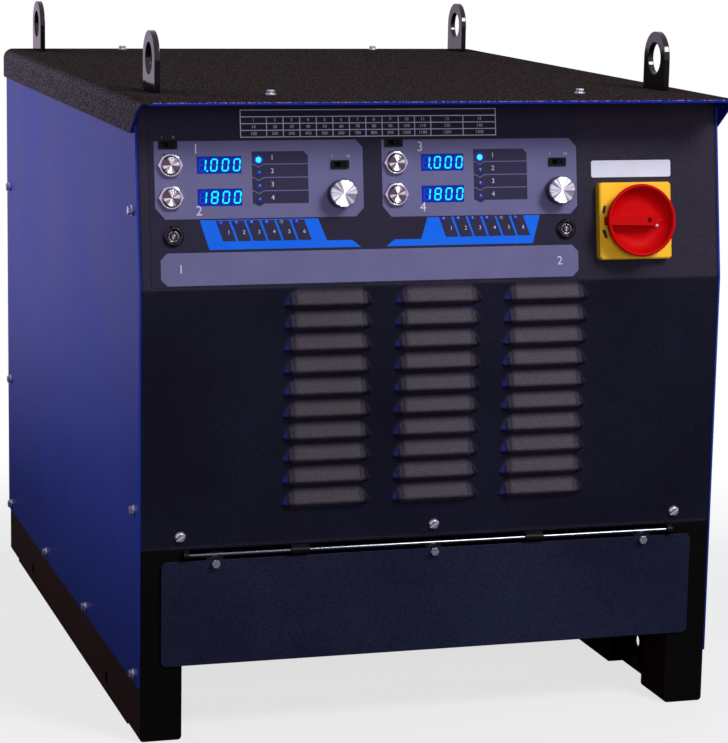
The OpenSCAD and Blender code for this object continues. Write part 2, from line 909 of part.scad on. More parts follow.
module left_step_slider() {
    slider(stations[0], step_slide);
}

module right_mode_slider() {
    slider(stations[1], mode_slide);
}

module right_step_slider() {
    slider(stations[1], step_slide);
}

// Rotary encoders: body, pressed sleeve, turning spindle and spun dial
encoder_w = 14;
encoder_t = 9;
bushing_top = overlay_t + 0.9;
sleeve_r = 3.6;
spindle_r = 2.5;
sleeve_low = -6;
spindle_low = -7.5;
spindle_top = overlay_t + dial_h - 1;
encoder_floor = -encoder_t - sheet + 1.5;
dial_low = bushing_top + dial_travel + control_clear;

module encoder_bodies() {
    color(black_plastic) place() for (x = stations) {
        on_slope(x + dial_at[0], dial_at[1]) difference() {
            union() {
                translate([0, 0, -sheet - encoder_t]) linear_extrude(encoder_t)
                    square([encoder_w, encoder_w], center = true);
                translate([0, 0, -sheet - past]) cylinder(d = bushing_d, h = sheet + past + bushing_top);
            }
            translate([0, 0, encoder_floor]) cylinder(r = sleeve_r + shaft_clear, h = 2 * encoder_t);
        }
    }
}

module encoder_plunger(x) {
    color(bright_steel) place() on_slope(x + dial_at[0], dial_at[1]) difference() {
        translate([0, 0, sleeve_low]) cylinder(r = sleeve_r, h = bushing_top - sleeve_low);
        translate([0, 0, sleeve_low - past]) cylinder(r = spindle_r + shaft_clear, h = encoder_t + 2 * past);
    }
}

module left_encoder_plunger() {
    encoder_plunger(stations[0]);
}

module right_encoder_plunger() {
    encoder_plunger(stations[1]);
}

module dial_spindle(x) {
    collar_gap = 0.1;
    color(bright_steel) place() on_slope(x + dial_at[0], dial_at[1]) {
        translate([0, 0, spindle_low]) cylinder(r = spindle_r, h = spindle_top - spindle_low);
        translate([0, 0, spindle_low])
            cylinder(r = sleeve_r - control_clear, h = sleeve_low - collar_gap - spindle_low);
    }
}

module left_dial_spindle() {
    dial_spindle(stations[0]);
}

module right_dial_spindle() {
    dial_spindle(stations[1]);
}

module dial_knob(x) {
    edge = 1;
    skirt_in = 2;
    skirt_h = 4;
    top = dial_low + dial_h;
    r = dial_d / 2;
    flutes = 40;
    flute_r = 0.5;
    color([0.82, 0.83, 0.86]) place() on_slope(x + dial_at[0], dial_at[1]) difference() {
        rotate_extrude() polygon([
            [spindle_r, dial_low], [sleeve_r + 2, dial_low], [sleeve_r + 3, dial_low + skirt_h],
            [r - skirt_in, dial_low + skirt_h], [r - skirt_in, dial_low], [r - edge / 2, dial_low],
            [r, dial_low + edge / 2], [r, top - edge], [r - edge, top], [0, top],
            [0, spindle_top], [spindle_r, spindle_top]
        ]);
        for (i = [0:flutes - 1]) {
            rotate([0, 0, i * 360 / flutes]) translate([r + flute_r / 2, 0, dial_low - past])
                cylinder(r = flute_r, h = dial_h - 1.5 * edge + past, $fn = 16);
        }
    }
}

module left_dial_knob() {
    dial_knob(stations[0]);
}

module right_dial_knob() {
    dial_knob(stations[1]);
}

// Round indicator lenses of the menu and status lamps
module indicator_lenses() {
    lens_tail = 8;
    dome = 1.2;
    color([0.15, 0.35, 0.9]) place() on_slope(0, 0) lens_places() {
        translate([0, 0, -lens_tail]) cylinder(d = lens_d, h = lens_tail + overlay_t);
        intersection() {
            translate([0, 0, overlay_t - past / 2]) cylinder(d = lens_d, h = lens_d);
            translate([0, 0, overlay_t + dome - lens_d]) sphere(r = lens_d);
        }
    }
}

// Main control board on long spacers behind the switches
module control_board() {
    depth = 46;
    spacer_r = 4;
    margin = 20;
    spacer_s = [overlay_s + margin + 3, overlay_s + overlay_h - margin - 1];
    board_w = overlay_w - 2 * margin;
    mid_x = overlay_x + overlay_w / 2;
    mid_s = (spacer_s[0] + spacer_s[1]) / 2;
    color(board_green) place() on_slope(mid_x, 0) {
        translate([0, mid_s, -depth]) linear_extrude(board_t)
            square([board_w, spacer_s[1] - spacer_s[0] + 4 * spacer_r], center = true);
        for (x = [-1, 0, 1], s = spacer_s) {
            translate([x * (board_w / 2 - 3 * spacer_r), s, -depth + board_t / 2])
                cylinder(r = spacer_r, h = depth - board_t / 2 - sheet);
        }
    }
}

// Main disconnect: escutcheon, dished handle on a shaft, and the switch behind
handle_gap = 0.4;
switch_w = 64;
switch_h = 74;
switch_t = 56;
shaft_tail = 34;

module disconnect_plate() {
    edge = 1.5;
    corner = 4;
    color([1.0, 0.76, 0.12]) place() on_slope(handle_x, handle_s) difference() {
        union() {
            linear_extrude(escutcheon_t - edge) rounded(escutcheon_w, escutcheon_w, corner);
            hull() {
                translate([0, 0, escutcheon_t - edge - 0.01]) linear_extrude(0.01)
                    rounded(escutcheon_w, escutcheon_w, corner, $fn = 32);
                translate([0, 0, escutcheon_t - 0.01]) linear_extrude(0.01)
                    rounded(escutcheon_w - 2 * edge, escutcheon_w - 2 * edge, corner - edge, $fn = 32);
            }
        }
        translate([0, 0, -past]) cylinder(r = shaft_r + shaft_clear, h = escutcheon_t + 2 * past);
    }
}

shaft_in = 12;

module disconnect_handle() {
    low = escutcheon_t + handle_gap;
    top = low + handle_h;
    r = handle_d / 2;
    rim = 4;
    waist = 5;
    floor_t = 4;
    floor_r = 20;
    bowl_r = r - rim - floor_r;
    grip_end = 4.4;
    grip_w = 6;
    grip_neck = 13;
    grip_tip = 25;
    grip_low = 0.5;
    padlock_d = 5;
    padlock_x = shaft_r + padlock_d / 2 + 2;
    color([0.80, 0.05, 0.07]) place() on_slope(handle_x, handle_s) difference() {
        union() {
            rotate_extrude() {
                difference() {
                    polygon([[0, low], [r - waist, low], [r, top - rim / 2], [0, top - rim / 2]]);
                    translate([-past, low + floor_t]) square([floor_r + past, handle_h]);
                    translate([floor_r, low + floor_t + bowl_r]) circle(bowl_r);
                }
                translate([r - rim / 2, top - rim / 2]) circle(rim / 2);
            }
            intersection() {
                translate([0, 0, low]) linear_extrude(handle_h - grip_low) polygon([
                    [-r, -grip_end], [-r, grip_end], [grip_neck, grip_w], [grip_tip, 0], [grip_neck, -grip_w]
                ]);
                translate([0, 0, low]) cylinder(r = r - rim / 2, h = handle_h);
            }
        }
        translate([0, 0, low - past]) cylinder(r = shaft_r, h = shaft_in + past);
        translate([padlock_x, 0, low - past]) cylinder(d = padlock_d, h = handle_h + 2 * past);
    }
}

module disconnect_shaft() {
    top = escutcheon_t + handle_gap + shaft_in;
    color(bright_steel) place() on_slope(handle_x, handle_s)
        translate([0, 0, -shaft_tail]) cylinder(r = shaft_r, h = shaft_tail + top);
}

module disconnect_switch() {
    pole_gap = 3;
    poles = 3;
    color(black_plastic) place() on_slope(handle_x, handle_s) difference() {
        translate([0, 0, -sheet - switch_t]) linear_extrude(switch_t) rounded(switch_w, switch_h, 3);
        translate([0, 0, -shaft_tail - past]) cylinder(r = shaft_r + shaft_clear, h = shaft_tail + 2 * past);
        for (i = [1:poles - 1], side = [-1, 1]) {
            translate([-switch_w / 2 + i * switch_w / poles, side * switch_h / 2, -sheet - switch_t / 2])
                cube([pole_gap, 18, switch_t + past], center = true);
        }
    }
}

// Flap over the socket bay: folded sheet screwed to tabs on a turning rod
rod_z = front_z - rod_drop;
rod_y = -3;
flap_back = -panel_gap;
flap_top = rod_z - flap_drop;
flap_w = case_w - 2 * flap_side;
flap_screws_at = [flap_screw_x - flap_w / 2, 0, flap_w / 2 - flap_screw_x];
flap_screw_drop = 3.4;
flap_screw_z = flap_top - flap_screw_drop;
bay_half = inner_half - leg_w - panel_gap;
tab_w = 18;
tab_t = 3;
end_knuckle_w = 6;
knuckle_w = 20;
rod_half = bay_half - 1;

module flap() {
    color([0.12, 0.13, 0.24]) place() difference() {
        along(flap_back - sheet, flap_back) translate([0, flap_top - flap_h / 2])
            rounded(flap_w, flap_h, flap_r);
        for (x = flap_screws_at) {
            translate([x, flap_back + past, flap_screw_z]) rotate([90, 0, 0])
                cylinder(d = screw_hole_d, h = sheet + 2 * past);
        }
    }
}

module hinge_rod() {
    tab_low = flap_screw_z - 6;
    color(bright_steel) place() {
        translate([-rod_half, rod_y, rod_z]) rotate([0, 90, 0]) cylinder(d = rod_d, h = 2 * rod_half);
        difference() {
            for (x = flap_screws_at) translate([x, 0, 0]) across(tab_w) polygon([
                [rod_y, rod_z - tab_t / 2], [flap_back, rod_z - tab_t / 2], [flap_back, tab_low],
                [flap_back + tab_t, tab_low], [flap_back + tab_t, rod_z + tab_t / 2],
                [rod_y, rod_z + tab_t / 2]
            ]);
            for (x = flap_screws_at) {
                translate([x, flap_back - past, flap_screw_z]) rotate([-90, 0, 0])
                    cylinder(d = screw_hole_d, h = tab_t + 2 * past);
            }
        }
    }
}

module flap_screws() {
    color(bright_steel) place() for (x = flap_screws_at) {
        translate([x, flap_back - sheet, flap_screw_z]) rotate([90, 0, 0]) {
            cylinder(d = screw_hex_d, h = screw_head_h, $fn = 6);
            translate([0, 0, -sheet - tab_t - past]) cylinder(r = screw_r, h = sheet + tab_t + 2 * past);
        }
    }
}

// Fixed knuckles under the front panel's lower fold, with the rod through them
module hinge_knuckles() {
    wall = 2.4;
    knuckle_r = rod_d / 2 + wall;
    foot_d = 15;
    ends = bay_half - end_knuckle_w / 2;
    color(black_plastic) place() for (k = [
        [-ends, end_knuckle_w], [knuckle_left_x, knuckle_w],
        [knuckle_right_x, knuckle_w], [ends, end_knuckle_w]
    ]) {
        translate([k[0], 0, 0]) difference() {
            across(k[1]) union() {
                translate([rod_y, rod_z]) circle(knuckle_r);
                translate([rod_y, rod_z]) square([foot_d - rod_y, rod_drop]);
            }
            across(k[1] + 2 * past) translate([rod_y, rod_z]) circle(rod_d / 2 + rod_clear);
        }
    }
}

// Recessed socket bay: folded box with roof, cheeks and back wall
bay_top = sill_z + sill_t;
socket_z = pan_z + 66;
socket_edge = 73.2;
socket_pitch = 2 * (bay_half - socket_edge) / 3;
socket_x = [for (i = [-1.5:1:1.5]) i * socket_pitch];
control_x = [-socket_pitch, socket_pitch];
stud_len = 30;
socket_r = 17;
socket_thread_r = 12;
control_thread_r = 10;

module terminal_panel() {
    roof_y = sill_d - 20;
    foot = 20;
    color(skid_black) place() difference() {
        union() {
            across(2 * bay_half) polygon([
                [roof_y, bay_top], [bay_d, bay_top], [bay_d, pan_z],
                [bay_d + foot, pan_z], [bay_d + foot, pan_z + sheet],
                [bay_d + sheet, pan_z + sheet], [bay_d + sheet, bay_top + sheet], [roof_y, bay_top + sheet]
            ]);
            for (side = [0, 1]) mirror([side, 0, 0]) {
                translate([bay_half - sheet, leg_d + panel_gap, pan_z])
                    cube([sheet, bay_d - leg_d, bay_top - pan_z + past]);
            }
        }
        for (x = socket_x) translate([x, bay_d - past, socket_z]) rotate([-90, 0, 0])
            cylinder(r = socket_thread_r + hole_clear, h = sheet + 2 * past);
        for (x = control_x) translate([x, bay_d - past, socket_z]) rotate([-90, 0, 0])
            cylinder(r = control_thread_r + hole_clear, h = sheet + 2 * past);
    }
}

// Weld cable sockets: insulated collar, round bore, stud and nut behind the wall
module weld_sockets() {
    flange_r = 23;
    flange_t = 4;
    nut_t = 8;
    edge = 2;
    color(copper) place() for (x = socket_x) {
        translate([x, bay_d, socket_z]) rotate([90, 0, 0]) rotate_extrude() polygon([
            [0, -stud_len], [socket_thread_r - 4, -stud_len], [socket_thread_r - 4, -sheet - nut_t],
            [socket_thread_r + 5, -sheet - nut_t], [socket_thread_r + 5, -sheet], [socket_thread_r, -sheet],
            [socket_thread_r, 0], [flange_r, 0], [flange_r, flange_t], [socket_r, flange_t],
            [socket_r, socket_out - edge], [socket_r - edge, socket_out], [socket_bore / 2, socket_out],
            [socket_bore / 2, socket_out - socket_depth], [0, socket_out - socket_depth]
        ]);
    }
}

// Gun trigger sockets: threaded shell with an insert
module control_sockets() {
    shell_r = 13;
    shell_out = 18;
    wall = 1.8;
    insert = 6;
    tail = 16;
    color(bright_steel) place() for (x = control_x) {
        translate([x, bay_d, socket_z]) rotate([90, 0, 0]) rotate_extrude() polygon([
            [0, -tail], [control_thread_r - 2, -tail], [control_thread_r - 2, -sheet],
            [control_thread_r, -sheet], [control_thread_r, 0],
            [shell_r + 3, 0], [shell_r + 3, 3], [shell_r, 3], [shell_r, shell_out],
            [shell_r - wall, shell_out], [shell_r - wall, insert], [0, insert]
        ]);
    }
}

// The power train's units one behind the other, from the sockets' studs to the fan
thyristor_t = 22;
sink_w = 260;
sink_base = 14;
sink_h = 180;
sink_fin = 50;
choke_d = 100;
choke_out = 15;
coil_out = 30;
sink_y = bay_d + stud_len + train_gap + thyristor_t;
choke_y = sink_y + sink_base + sink_fin + train_gap + choke_out + choke_d / 2;
core_y = choke_y + choke_d / 2 + choke_out + train_gap + coil_out + core_d / 2;

// Three-phase transformer on the floor pan
limb_w = core_w / 6;
foot_t = 4;
core_low = pan_z + foot_t;

module transformer_core() {
    window_w = (core_w - 3 * limb_w) / 2;
    window_h = core_h - 2 * limb_w;
    foot_d = core_d + 2 * coil_out;
    color(lamination) place() {
        along(core_y - core_d / 2, core_y + core_d / 2) difference() {
            translate([-core_w / 2, core_low]) square([core_w, core_h]);
            for (side = [-1, 1]) {
                translate([side * (limb_w + window_w) / 2 - window_w / 2, core_low + limb_w])
                    square([window_w, window_h]);
            }
        }
        translate([-core_w / 2, core_y - foot_d / 2, pan_z]) cube([core_w, foot_d, foot_t]);
    }
}

module transformer_windings() {
    play = 0.5;
    coil_h = core_h - 2 * limb_w - 2 * play;
    pitch = (core_w - limb_w) / 2;
    coil_w = pitch - 2 * play;
    coil_d = core_d + 2 * coil_out;
    color(copper) place() for (i = [-1, 0, 1]) {
        translate([i * pitch, core_y, core_low + limb_w + play]) linear_extrude(coil_h) difference() {
            rounded(coil_w, coil_d, 16);
            square([limb_w + 2 * play, core_d + 2 * play], center = true);
        }
    }
}

// Output choke: core with its coil, potted as one block
module output_choke() {
    choke_w = 220;
    choke_h = 160;
    yoke_h = 30;
    coil_w = 120;
    color(lamination) place() {
        translate([-choke_w / 2, choke_y - choke_d / 2, pan_z]) cube([choke_w, choke_d, choke_h]);
        translate([0, choke_y, pan_z + yoke_h]) linear_extrude(choke_h - 2 * yoke_h)
            rounded(coil_w, choke_d + 2 * choke_out, 10);
    }
}

// Finned heat sink of the rectifier with the thyristor modules on its base
module rectifier_heatsink() {
    fins = 18;
    fin_t = 4;
    color([0.7, 0.71, 0.73]) place() translate([0, sink_y, pan_z]) linear_extrude(sink_h) {
        translate([-sink_w / 2, 0]) square([sink_w, sink_base]);
        for (i = [0:fins - 1]) {
            translate([-sink_w / 2 + i * (sink_w - fin_t) / (fins - 1), sink_base - past])
                square([fin_t, sink_fin + past]);
        }
    }
}

module thyristor_modules() {
    module_w = 34;
    module_h = 92;
    module_pitch = 70;
    color(black_plastic) place() for (i = [-1, 0, 1]) {
        translate([i * module_pitch, sink_y - thyristor_t, pan_z + sink_h / 2]) rotate([-90, 0, 0])
            linear_extrude(thyristor_t) rounded(module_w, module_h, 3);
    }
}

// Cooling fan on the rear panel: ring with spokes, motor and bladed rotor
fan_rise = 305;
fan_z = pan_z + fan_rise;
fan_plate_t = 3;
fan_stand = 34;
fan_y = rear_in - fan_stand - fan_plate_t;
fan_gap = 6;
motor_r = 44;
spoke_t = 6;
spoke_y = fan_y - 20;
fan_shaft_r = 6;
rotor_y = fan_y - 8;
rotor_w = 24;

module fan_bracket() {
    plate_w = fan_d + 2 * fan_gap + 40;
    opening_r = fan_d / 2 + fan_gap;
    post_r = 6;
    post_at = plate_w / 2 - 10;
    arm_w = 12;
    color(bright_steel) place() translate([0, 0, fan_z]) {
        along(fan_y, fan_y + fan_plate_t) difference() {
            rounded(plate_w, plate_w, 10);
            circle(opening_r);
        }
        for (x = [-1, 1], z = [-1, 1]) {
            translate([x * post_at, fan_y + fan_plate_t - past, z * post_at]) rotate([-90, 0, 0])
                cylinder(r = post_r, h = fan_stand + past);
        }
        along(spoke_y, spoke_y + spoke_t) difference() {
            union() {
                circle(motor_r + 8);
                for (a = [45, 135]) rotate(a) square([2 * opening_r + 2 * arm_w, arm_w], center = true);
            }
            circle(motor_r);
        }
        for (a = [45:90:315]) {
            rotate([0, -a, 0]) translate([opening_r + 1, spoke_y, -arm_w / 2])
                cube([arm_w - 2, fan_y - spoke_y + past, arm_w]);
        }
    }
}

module fan_motor() {
    color(black_plastic) place() translate([0, spoke_y + spoke_t, fan_z]) rotate([90, 0, 0]) {
        cylinder(r = motor_r, h = motor_len);
        translate([0, 0, -(rotor_y + rotor_w - spoke_y - spoke_t)]) cylinder(r = fan_shaft_r, h = motor_len);
    }
}

module fan_rotor() {
    hub_r = 40;
    blade_t = 2.5;
    pitch = 32;
    blade_w = 70;
    color([0.5, 0.52, 0.55]) place() translate([0, rotor_y, fan_z]) rotate([-90, 0, 0]) difference() {
        union() {
            cylinder(r = hub_r, h = rotor_w);
            intersection() {
                for (i = [0:fan_blades - 1]) rotate([0, 0, i * 360 / fan_blades]) {
                    translate([0, 0, rotor_w / 2]) rotate([pitch, 0, 0])
                        translate([hub_r / 2, -blade_w / 2, -blade_t / 2]) cube([fan_d, blade_w, blade_t]);
                }
                cylinder(r = fan_d / 2, h = rotor_w);
            }
        }
        translate([0, 0, -past]) cylinder(r = fan_shaft_r + shaft_clear, h = rotor_w + 2 * past);
    }
}

// Supply cable gland in the rear panel
module cable_gland() {
    nut_d = gland_bore + 20;
    nut_t = 8;
    dome_r = gland_bore / 2 + 7;
    color(black_plastic) place() translate([gland_x, case_d, gland_z]) rotate([-90, 0, 0]) difference() {
        union() {
            translate([0, 0, -sheet - nut_t]) cylinder(d = gland_thread_d, h = sheet + nut_t + past);
            translate([0, 0, -sheet - nut_t]) cylinder(d = nut_d, h = nut_t, $fn = 6);
            cylinder(d = nut_d, h = nut_t, $fn = 6);
            rotate_extrude() polygon([
                [0, 0], [dome_r, 0], [dome_r, gland_out - 6], [gland_bore / 2 + 3, gland_out], [0, gland_out]
            ]);
        }
        translate([0, 0, -sheet - nut_t - past])
            cylinder(d = gland_bore, h = gland_out + sheet + nut_t + 2 * past);
    }
}

left_skid();
right_skid();
floor_pan();
front_sill();
lifting_bar_front_left();
lifting_bar_front_right();
lifting_bar_rear_left();
lifting_bar_rear_right();
left_side_panel();
right_side_panel();
rear_panel();
top_cover();
front_panel();
front_panel_screws();
case_screws();
control_overlay();
left_display_board();
right_display_board();
push_button_bezels();
key_switch_housings();
slide_switch_housings();
encoder_bodies();
indicator_lenses();
control_board();
disconnect_plate();
disconnect_switch();
hinge_knuckles();
terminal_panel();
weld_sockets();
control_sockets();
transformer_core();
transformer_windings();
output_choke();
rectifier_heatsink();
thyristor_modules();
fan_bracket();
fan_motor();
cable_gland();
left_upper_button();
left_lower_button();
right_upper_button();
right_lower_button();
left_key_plug();
right_key_plug();
left_mode_slider();
left_step_slider();
right_mode_slider();
right_step_slider();
left_encoder_plunger();
right_encoder_plunger();
left_dial_spindle();
right_dial_spindle();
left_dial_knob();
right_dial_knob();
disconnect_handle();
disconnect_shaft();
flap();
hinge_rod();
flap_screws();
fan_rotor();
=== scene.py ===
import math

import bpy
from mathutils import Matrix, Vector


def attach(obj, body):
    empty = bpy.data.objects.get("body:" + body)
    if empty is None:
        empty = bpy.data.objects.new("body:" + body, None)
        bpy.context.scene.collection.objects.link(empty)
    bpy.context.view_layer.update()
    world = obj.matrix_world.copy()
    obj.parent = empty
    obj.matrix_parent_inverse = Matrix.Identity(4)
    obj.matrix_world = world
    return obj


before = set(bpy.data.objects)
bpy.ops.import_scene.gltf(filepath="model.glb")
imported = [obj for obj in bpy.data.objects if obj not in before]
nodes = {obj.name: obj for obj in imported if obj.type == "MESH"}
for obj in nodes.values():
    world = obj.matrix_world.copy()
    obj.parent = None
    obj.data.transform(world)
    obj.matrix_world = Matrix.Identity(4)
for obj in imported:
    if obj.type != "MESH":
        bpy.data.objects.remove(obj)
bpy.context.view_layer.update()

# Skids, floor pan and front sill: folded and welded mild steel under a thin black
# powder coat. The pieces are welded together before they are painted.
def linear(colour):
    """sRGB hex colour to a linear RGBA tuple."""
    parts = [int(colour[i:i + 2], 16) / 255 for i in (1, 3, 5)]
    return tuple(p / 12.92 if p <= 0.04045 else ((p + 0.055) / 1.055) ** 2.4 for p in parts) + (1.0,)


def add_node(tree, kind, settings=None, links=None):
    """Adds a node. A setting is an input, by name or number, or a property of the node."""
    node = tree.nodes.new(kind)
    for key, value in (settings or {}).items():
        if isinstance(key, str) and hasattr(node, key):
            setattr(node, key, value)
        else:
            node.inputs[key].default_value = value
    for key, source in (links or {}).items():
        tree.links.new(source, node.inputs[key])
    return node


def new_material(name):
    material = bpy.data.materials.new(name)
    material.use_nodes = True
    material.node_tree.nodes.clear()
    return material, material.node_tree


def dress(material, *names):
    """Gives a carried-over solid its finish."""
    for name in names:
        nodes[name].data.materials.clear()
        nodes[name].data.materials.append(material)


def powder_coat(name, colour, worn, grit_mm, relief_mm, roughness, gloss, edge_mm=0.8, casts=(), foot=None):
    """Baked powder paint: small grains, a faint cloudiness over a hand's width, soft folded edges.

    Such grains are typically about 0.4 mm, and are drawn coarser so that they show. A cast is
    another pair of tones, for faces that look one way: painted light and shade on the charcoal
    coat, a warmer tone on the skids' left-facing sides. A foot is painted shade, a darker tone near
    the floor, with the two heights between which it fades out. Both are matched to the photograph.
    """
    material, tree = new_material(name)
    place = add_node(tree, "ShaderNodeTexCoord").outputs["Object"]
    grit = add_node(tree, "ShaderNodeTexNoise", {"Scale": 1000 / grit_mm, "Detail": 3.0}, {"Vector": place})
    cloud = add_node(tree, "ShaderNodeTexNoise", {"Scale": 1000 / 160, "Detail": 4.0}, {"Vector": place})
    spread = add_node(tree, "ShaderNodeMath", {"operation": "MULTIPLY"},
                      {0: grit.outputs["Fac"], 1: cloud.outputs["Fac"]})
    reach = add_node(tree, "ShaderNodeMapRange", {"From Min": 0.12, "From Max": 0.42},
                     {"Value": spread.outputs["Value"]})
    tone = add_node(tree, "ShaderNodeMix", {"data_type": "RGBA", 6: linear(colour), 7: linear(worn)},
                    {0: reach.outputs["Result"]})
    sheen = add_node(tree, "ShaderNodeMapRange", {"To Min": roughness - 0.07, "To Max": roughness + 0.07},
                     {"Value": cloud.outputs["Fac"]})
    edge = add_node(tree, "ShaderNodeBevel", {"samples": 6, "Radius": edge_mm / 1000})
    # each cast mixes its pair of tones in where a face looks its way; on the charcoal coat it is painted
    # light and shade
    for way, low, high, dark, light in casts:
        look = add_node(tree, "ShaderNodeVectorMath", {"operation": "DOT_PRODUCT", 1: way},
                        {0: edge.outputs["Normal"]})
        part = add_node(tree, "ShaderNodeMapRange", {"From Min": low, "From Max": high},
                        {"Value": look.outputs["Value"]})
        cast = add_node(tree, "ShaderNodeMix", {"data_type": "RGBA", 6: linear(dark), 7: linear(light)},
                        {0: reach.outputs["Result"]})
        tone = add_node(tree, "ShaderNodeMix", {"data_type": "RGBA"},
                        {0: part.outputs["Result"], 6: tone.outputs[2], 7: cast.outputs[2]})
    # painted shade: the tone turns darker towards the floor
    if foot:
        height = add_node(tree, "ShaderNodeSeparateXYZ", {}, {"Vector": place})
        above_painted_shade = add_node(tree, "ShaderNodeMapRange",
                         {"interpolation_type": "SMOOTHSTEP", "From Min": foot[0], "From Max": foot[1]},
                         {"Value": height.outputs["Z"]})
        tone = add_node(tree, "ShaderNodeMix", {"data_type": "RGBA", 6: linear(foot[2])},
                        {0: above_painted_shade.outputs["Result"], 7: tone.outputs[2]})
    bump = add_node(tree, "ShaderNodeBump", {"Strength": 0.5, "Distance": relief_mm / 1000},
                    {"Height": grit.outputs["Fac"], "Normal": edge.outputs["Normal"]})
    paint = add_node(tree, "ShaderNodeBsdfPrincipled", {"IOR": 1.5, "Specular IOR Level": gloss},
                     {"Base Color": tone.outputs[2], "Roughness": sheen.outputs["Result"],
                      "Normal": bump.outputs["Normal"]})
    add_node(tree, "ShaderNodeOutputMaterial", {}, {"Surface": paint.outputs["BSDF"]})
    return material


# nearly black and dull; the outer sides look a little red, and get a warmer pair of tones
skid_paint = powder_coat("black_powder_coat", "#060606", "#0c0a0a", 1.6, 0.06, 0.5, 0.05,
                         casts=(((-1.0, 0.0, 0.0), 0.5, 0.9, "#180b09", "#26130f"),))
dress(skid_paint, "left_skid", "right_skid", "floor_pan", "front_sill", "terminal_panel")

# Power train on the pan: laminated core with varnished copper coils, a potted choke,
# an extruded aluminium heat sink with its moulded modules. Screwed down, seen only inside.
def plain_metal(name, colour, worn, roughness, grain_mm, edge_mm=0.4):
    """Bare metal with drawn or rolled streaks along X."""
    material, tree = new_material(name)
    place = add_node(tree, "ShaderNodeTexCoord").outputs["Object"]
    drawn = add_node(tree, "ShaderNodeMapping", {"Scale": (0.08, 1.0, 1.0)}, {"Vector": place})
    streak = add_node(tree, "ShaderNodeTexNoise", {"Scale": 1000 / grain_mm, "Detail": 3.0},
                      {"Vector": drawn.outputs["Vector"]})
    tone = add_node(tree, "ShaderNodeMix", {"data_type": "RGBA", 6: linear(colour), 7: linear(worn)},
                    {0: streak.outputs["Fac"]})
    sheen = add_node(tree, "ShaderNodeMapRange", {"To Min": roughness - 0.08, "To Max": roughness + 0.1},
                     {"Value": streak.outputs["Fac"]})
    edge = add_node(tree, "ShaderNodeBevel", {"samples": 6, "Radius": edge_mm / 1000})
    bump = add_node(tree, "ShaderNodeBump", {"Strength": 0.25, "Distance": 0.00003},
                    {"Height": streak.outputs["Fac"], "Normal": edge.outputs["Normal"]})
    metal = add_node(tree, "ShaderNodeBsdfPrincipled", {"Metallic": 1.0},
                     {"Base Color": tone.outputs[2], "Roughness": sheen.outputs["Result"],
                      "Normal": bump.outputs["Normal"]})
    add_node(tree, "ShaderNodeOutputMaterial", {}, {"Surface": metal.outputs["BSDF"]})
    return material


def moulded_plastic(name, colour, worn, roughness, grain_mm, relief_mm, gloss=0.4):
    """Injection-moulded plastic with the fine spark-erosion grain of its tool."""
    material, tree = new_material(name)
    place = add_node(tree, "ShaderNodeTexCoord").outputs["Object"]
    grain = add_node(tree, "ShaderNodeTexNoise", {"Scale": 1000 / grain_mm, "Detail": 2.0}, {"Vector": place})
    cloud = add_node(tree, "ShaderNodeTexNoise", {"Scale": 1000 / 30, "Detail": 2.0}, {"Vector": place})
    tone = add_node(tree, "ShaderNodeMix", {"data_type": "RGBA", 6: linear(colour), 7: linear(worn)},
                    {0: cloud.outputs["Fac"]})
    sheen = add_node(tree, "ShaderNodeMapRange", {"To Min": roughness - 0.06, "To Max": roughness + 0.06},
                     {"Value": cloud.outputs["Fac"]})
    edge = add_node(tree, "ShaderNodeBevel", {"samples": 4, "Radius": 0.0005})
    bump = add_node(tree, "ShaderNodeBump", {"Strength": 0.3, "Distance": relief_mm / 1000},
                    {"Height": grain.outputs["Fac"], "Normal": edge.outputs["Normal"]})
    plastic = add_node(tree, "ShaderNodeBsdfPrincipled", {"IOR": 1.49, "Specular IOR Level": gloss},
                       {"Base Color": tone.outputs[2], "Roughness": sheen.outputs["Result"],
                        "Normal": bump.outputs["Normal"]})
    add_node(tree, "ShaderNodeOutputMaterial", {}, {"Surface": plastic.outputs["BSDF"]})
    return material


# bright cool zinc, dark varnish over laminations and copper, dull aluminium, black plastic
# with a faint sheen
zinc_steel = plain_metal("zinc_plated_steel", "#cdcfdc", "#eeeff8", 0.3, 1.2)
core_steel = plain_metal("varnished_laminations", "#3b3c40", "#55565b", 0.5, 0.8)
winding_copper = plain_metal("varnished_copper_wire", "#7d4526", "#a9643a", 0.42, 1.5)
sink_aluminium = plain_metal("extruded_aluminium", "#9c9fa4", "#c2c5c9", 0.42, 1.0)
black_plastic = moulded_plastic("black_polyamide", "#08080a", "#101013", 0.42, 0.5, 0.03, 0.12)
dress(core_steel, "transformer_core", "output_choke")
dress(winding_copper, "transformer_windings")
dress(sink_aluminium, "rectifier_heatsink", "fan_rotor")
dress(zinc_steel, "fan_bracket")
dress(black_plastic, "thyristor_modules", "fan_motor", "disconnect_switch", "encoder_bodies", "cable_gland")

# Sockets in the bay: turned brass for the weld cables, zinc-plated shells for the
# trigger leads. Each is held by a nut behind the bay's wall.
# yellow metal with fine turning streaks, which mirrors the bay softly
socket_brass = plain_metal("turned_brass", "#a58443", "#cfb06a", 0.28, 0.6)
dress(socket_brass, "weld_sockets")
dress(zinc_steel, "control_sockets")

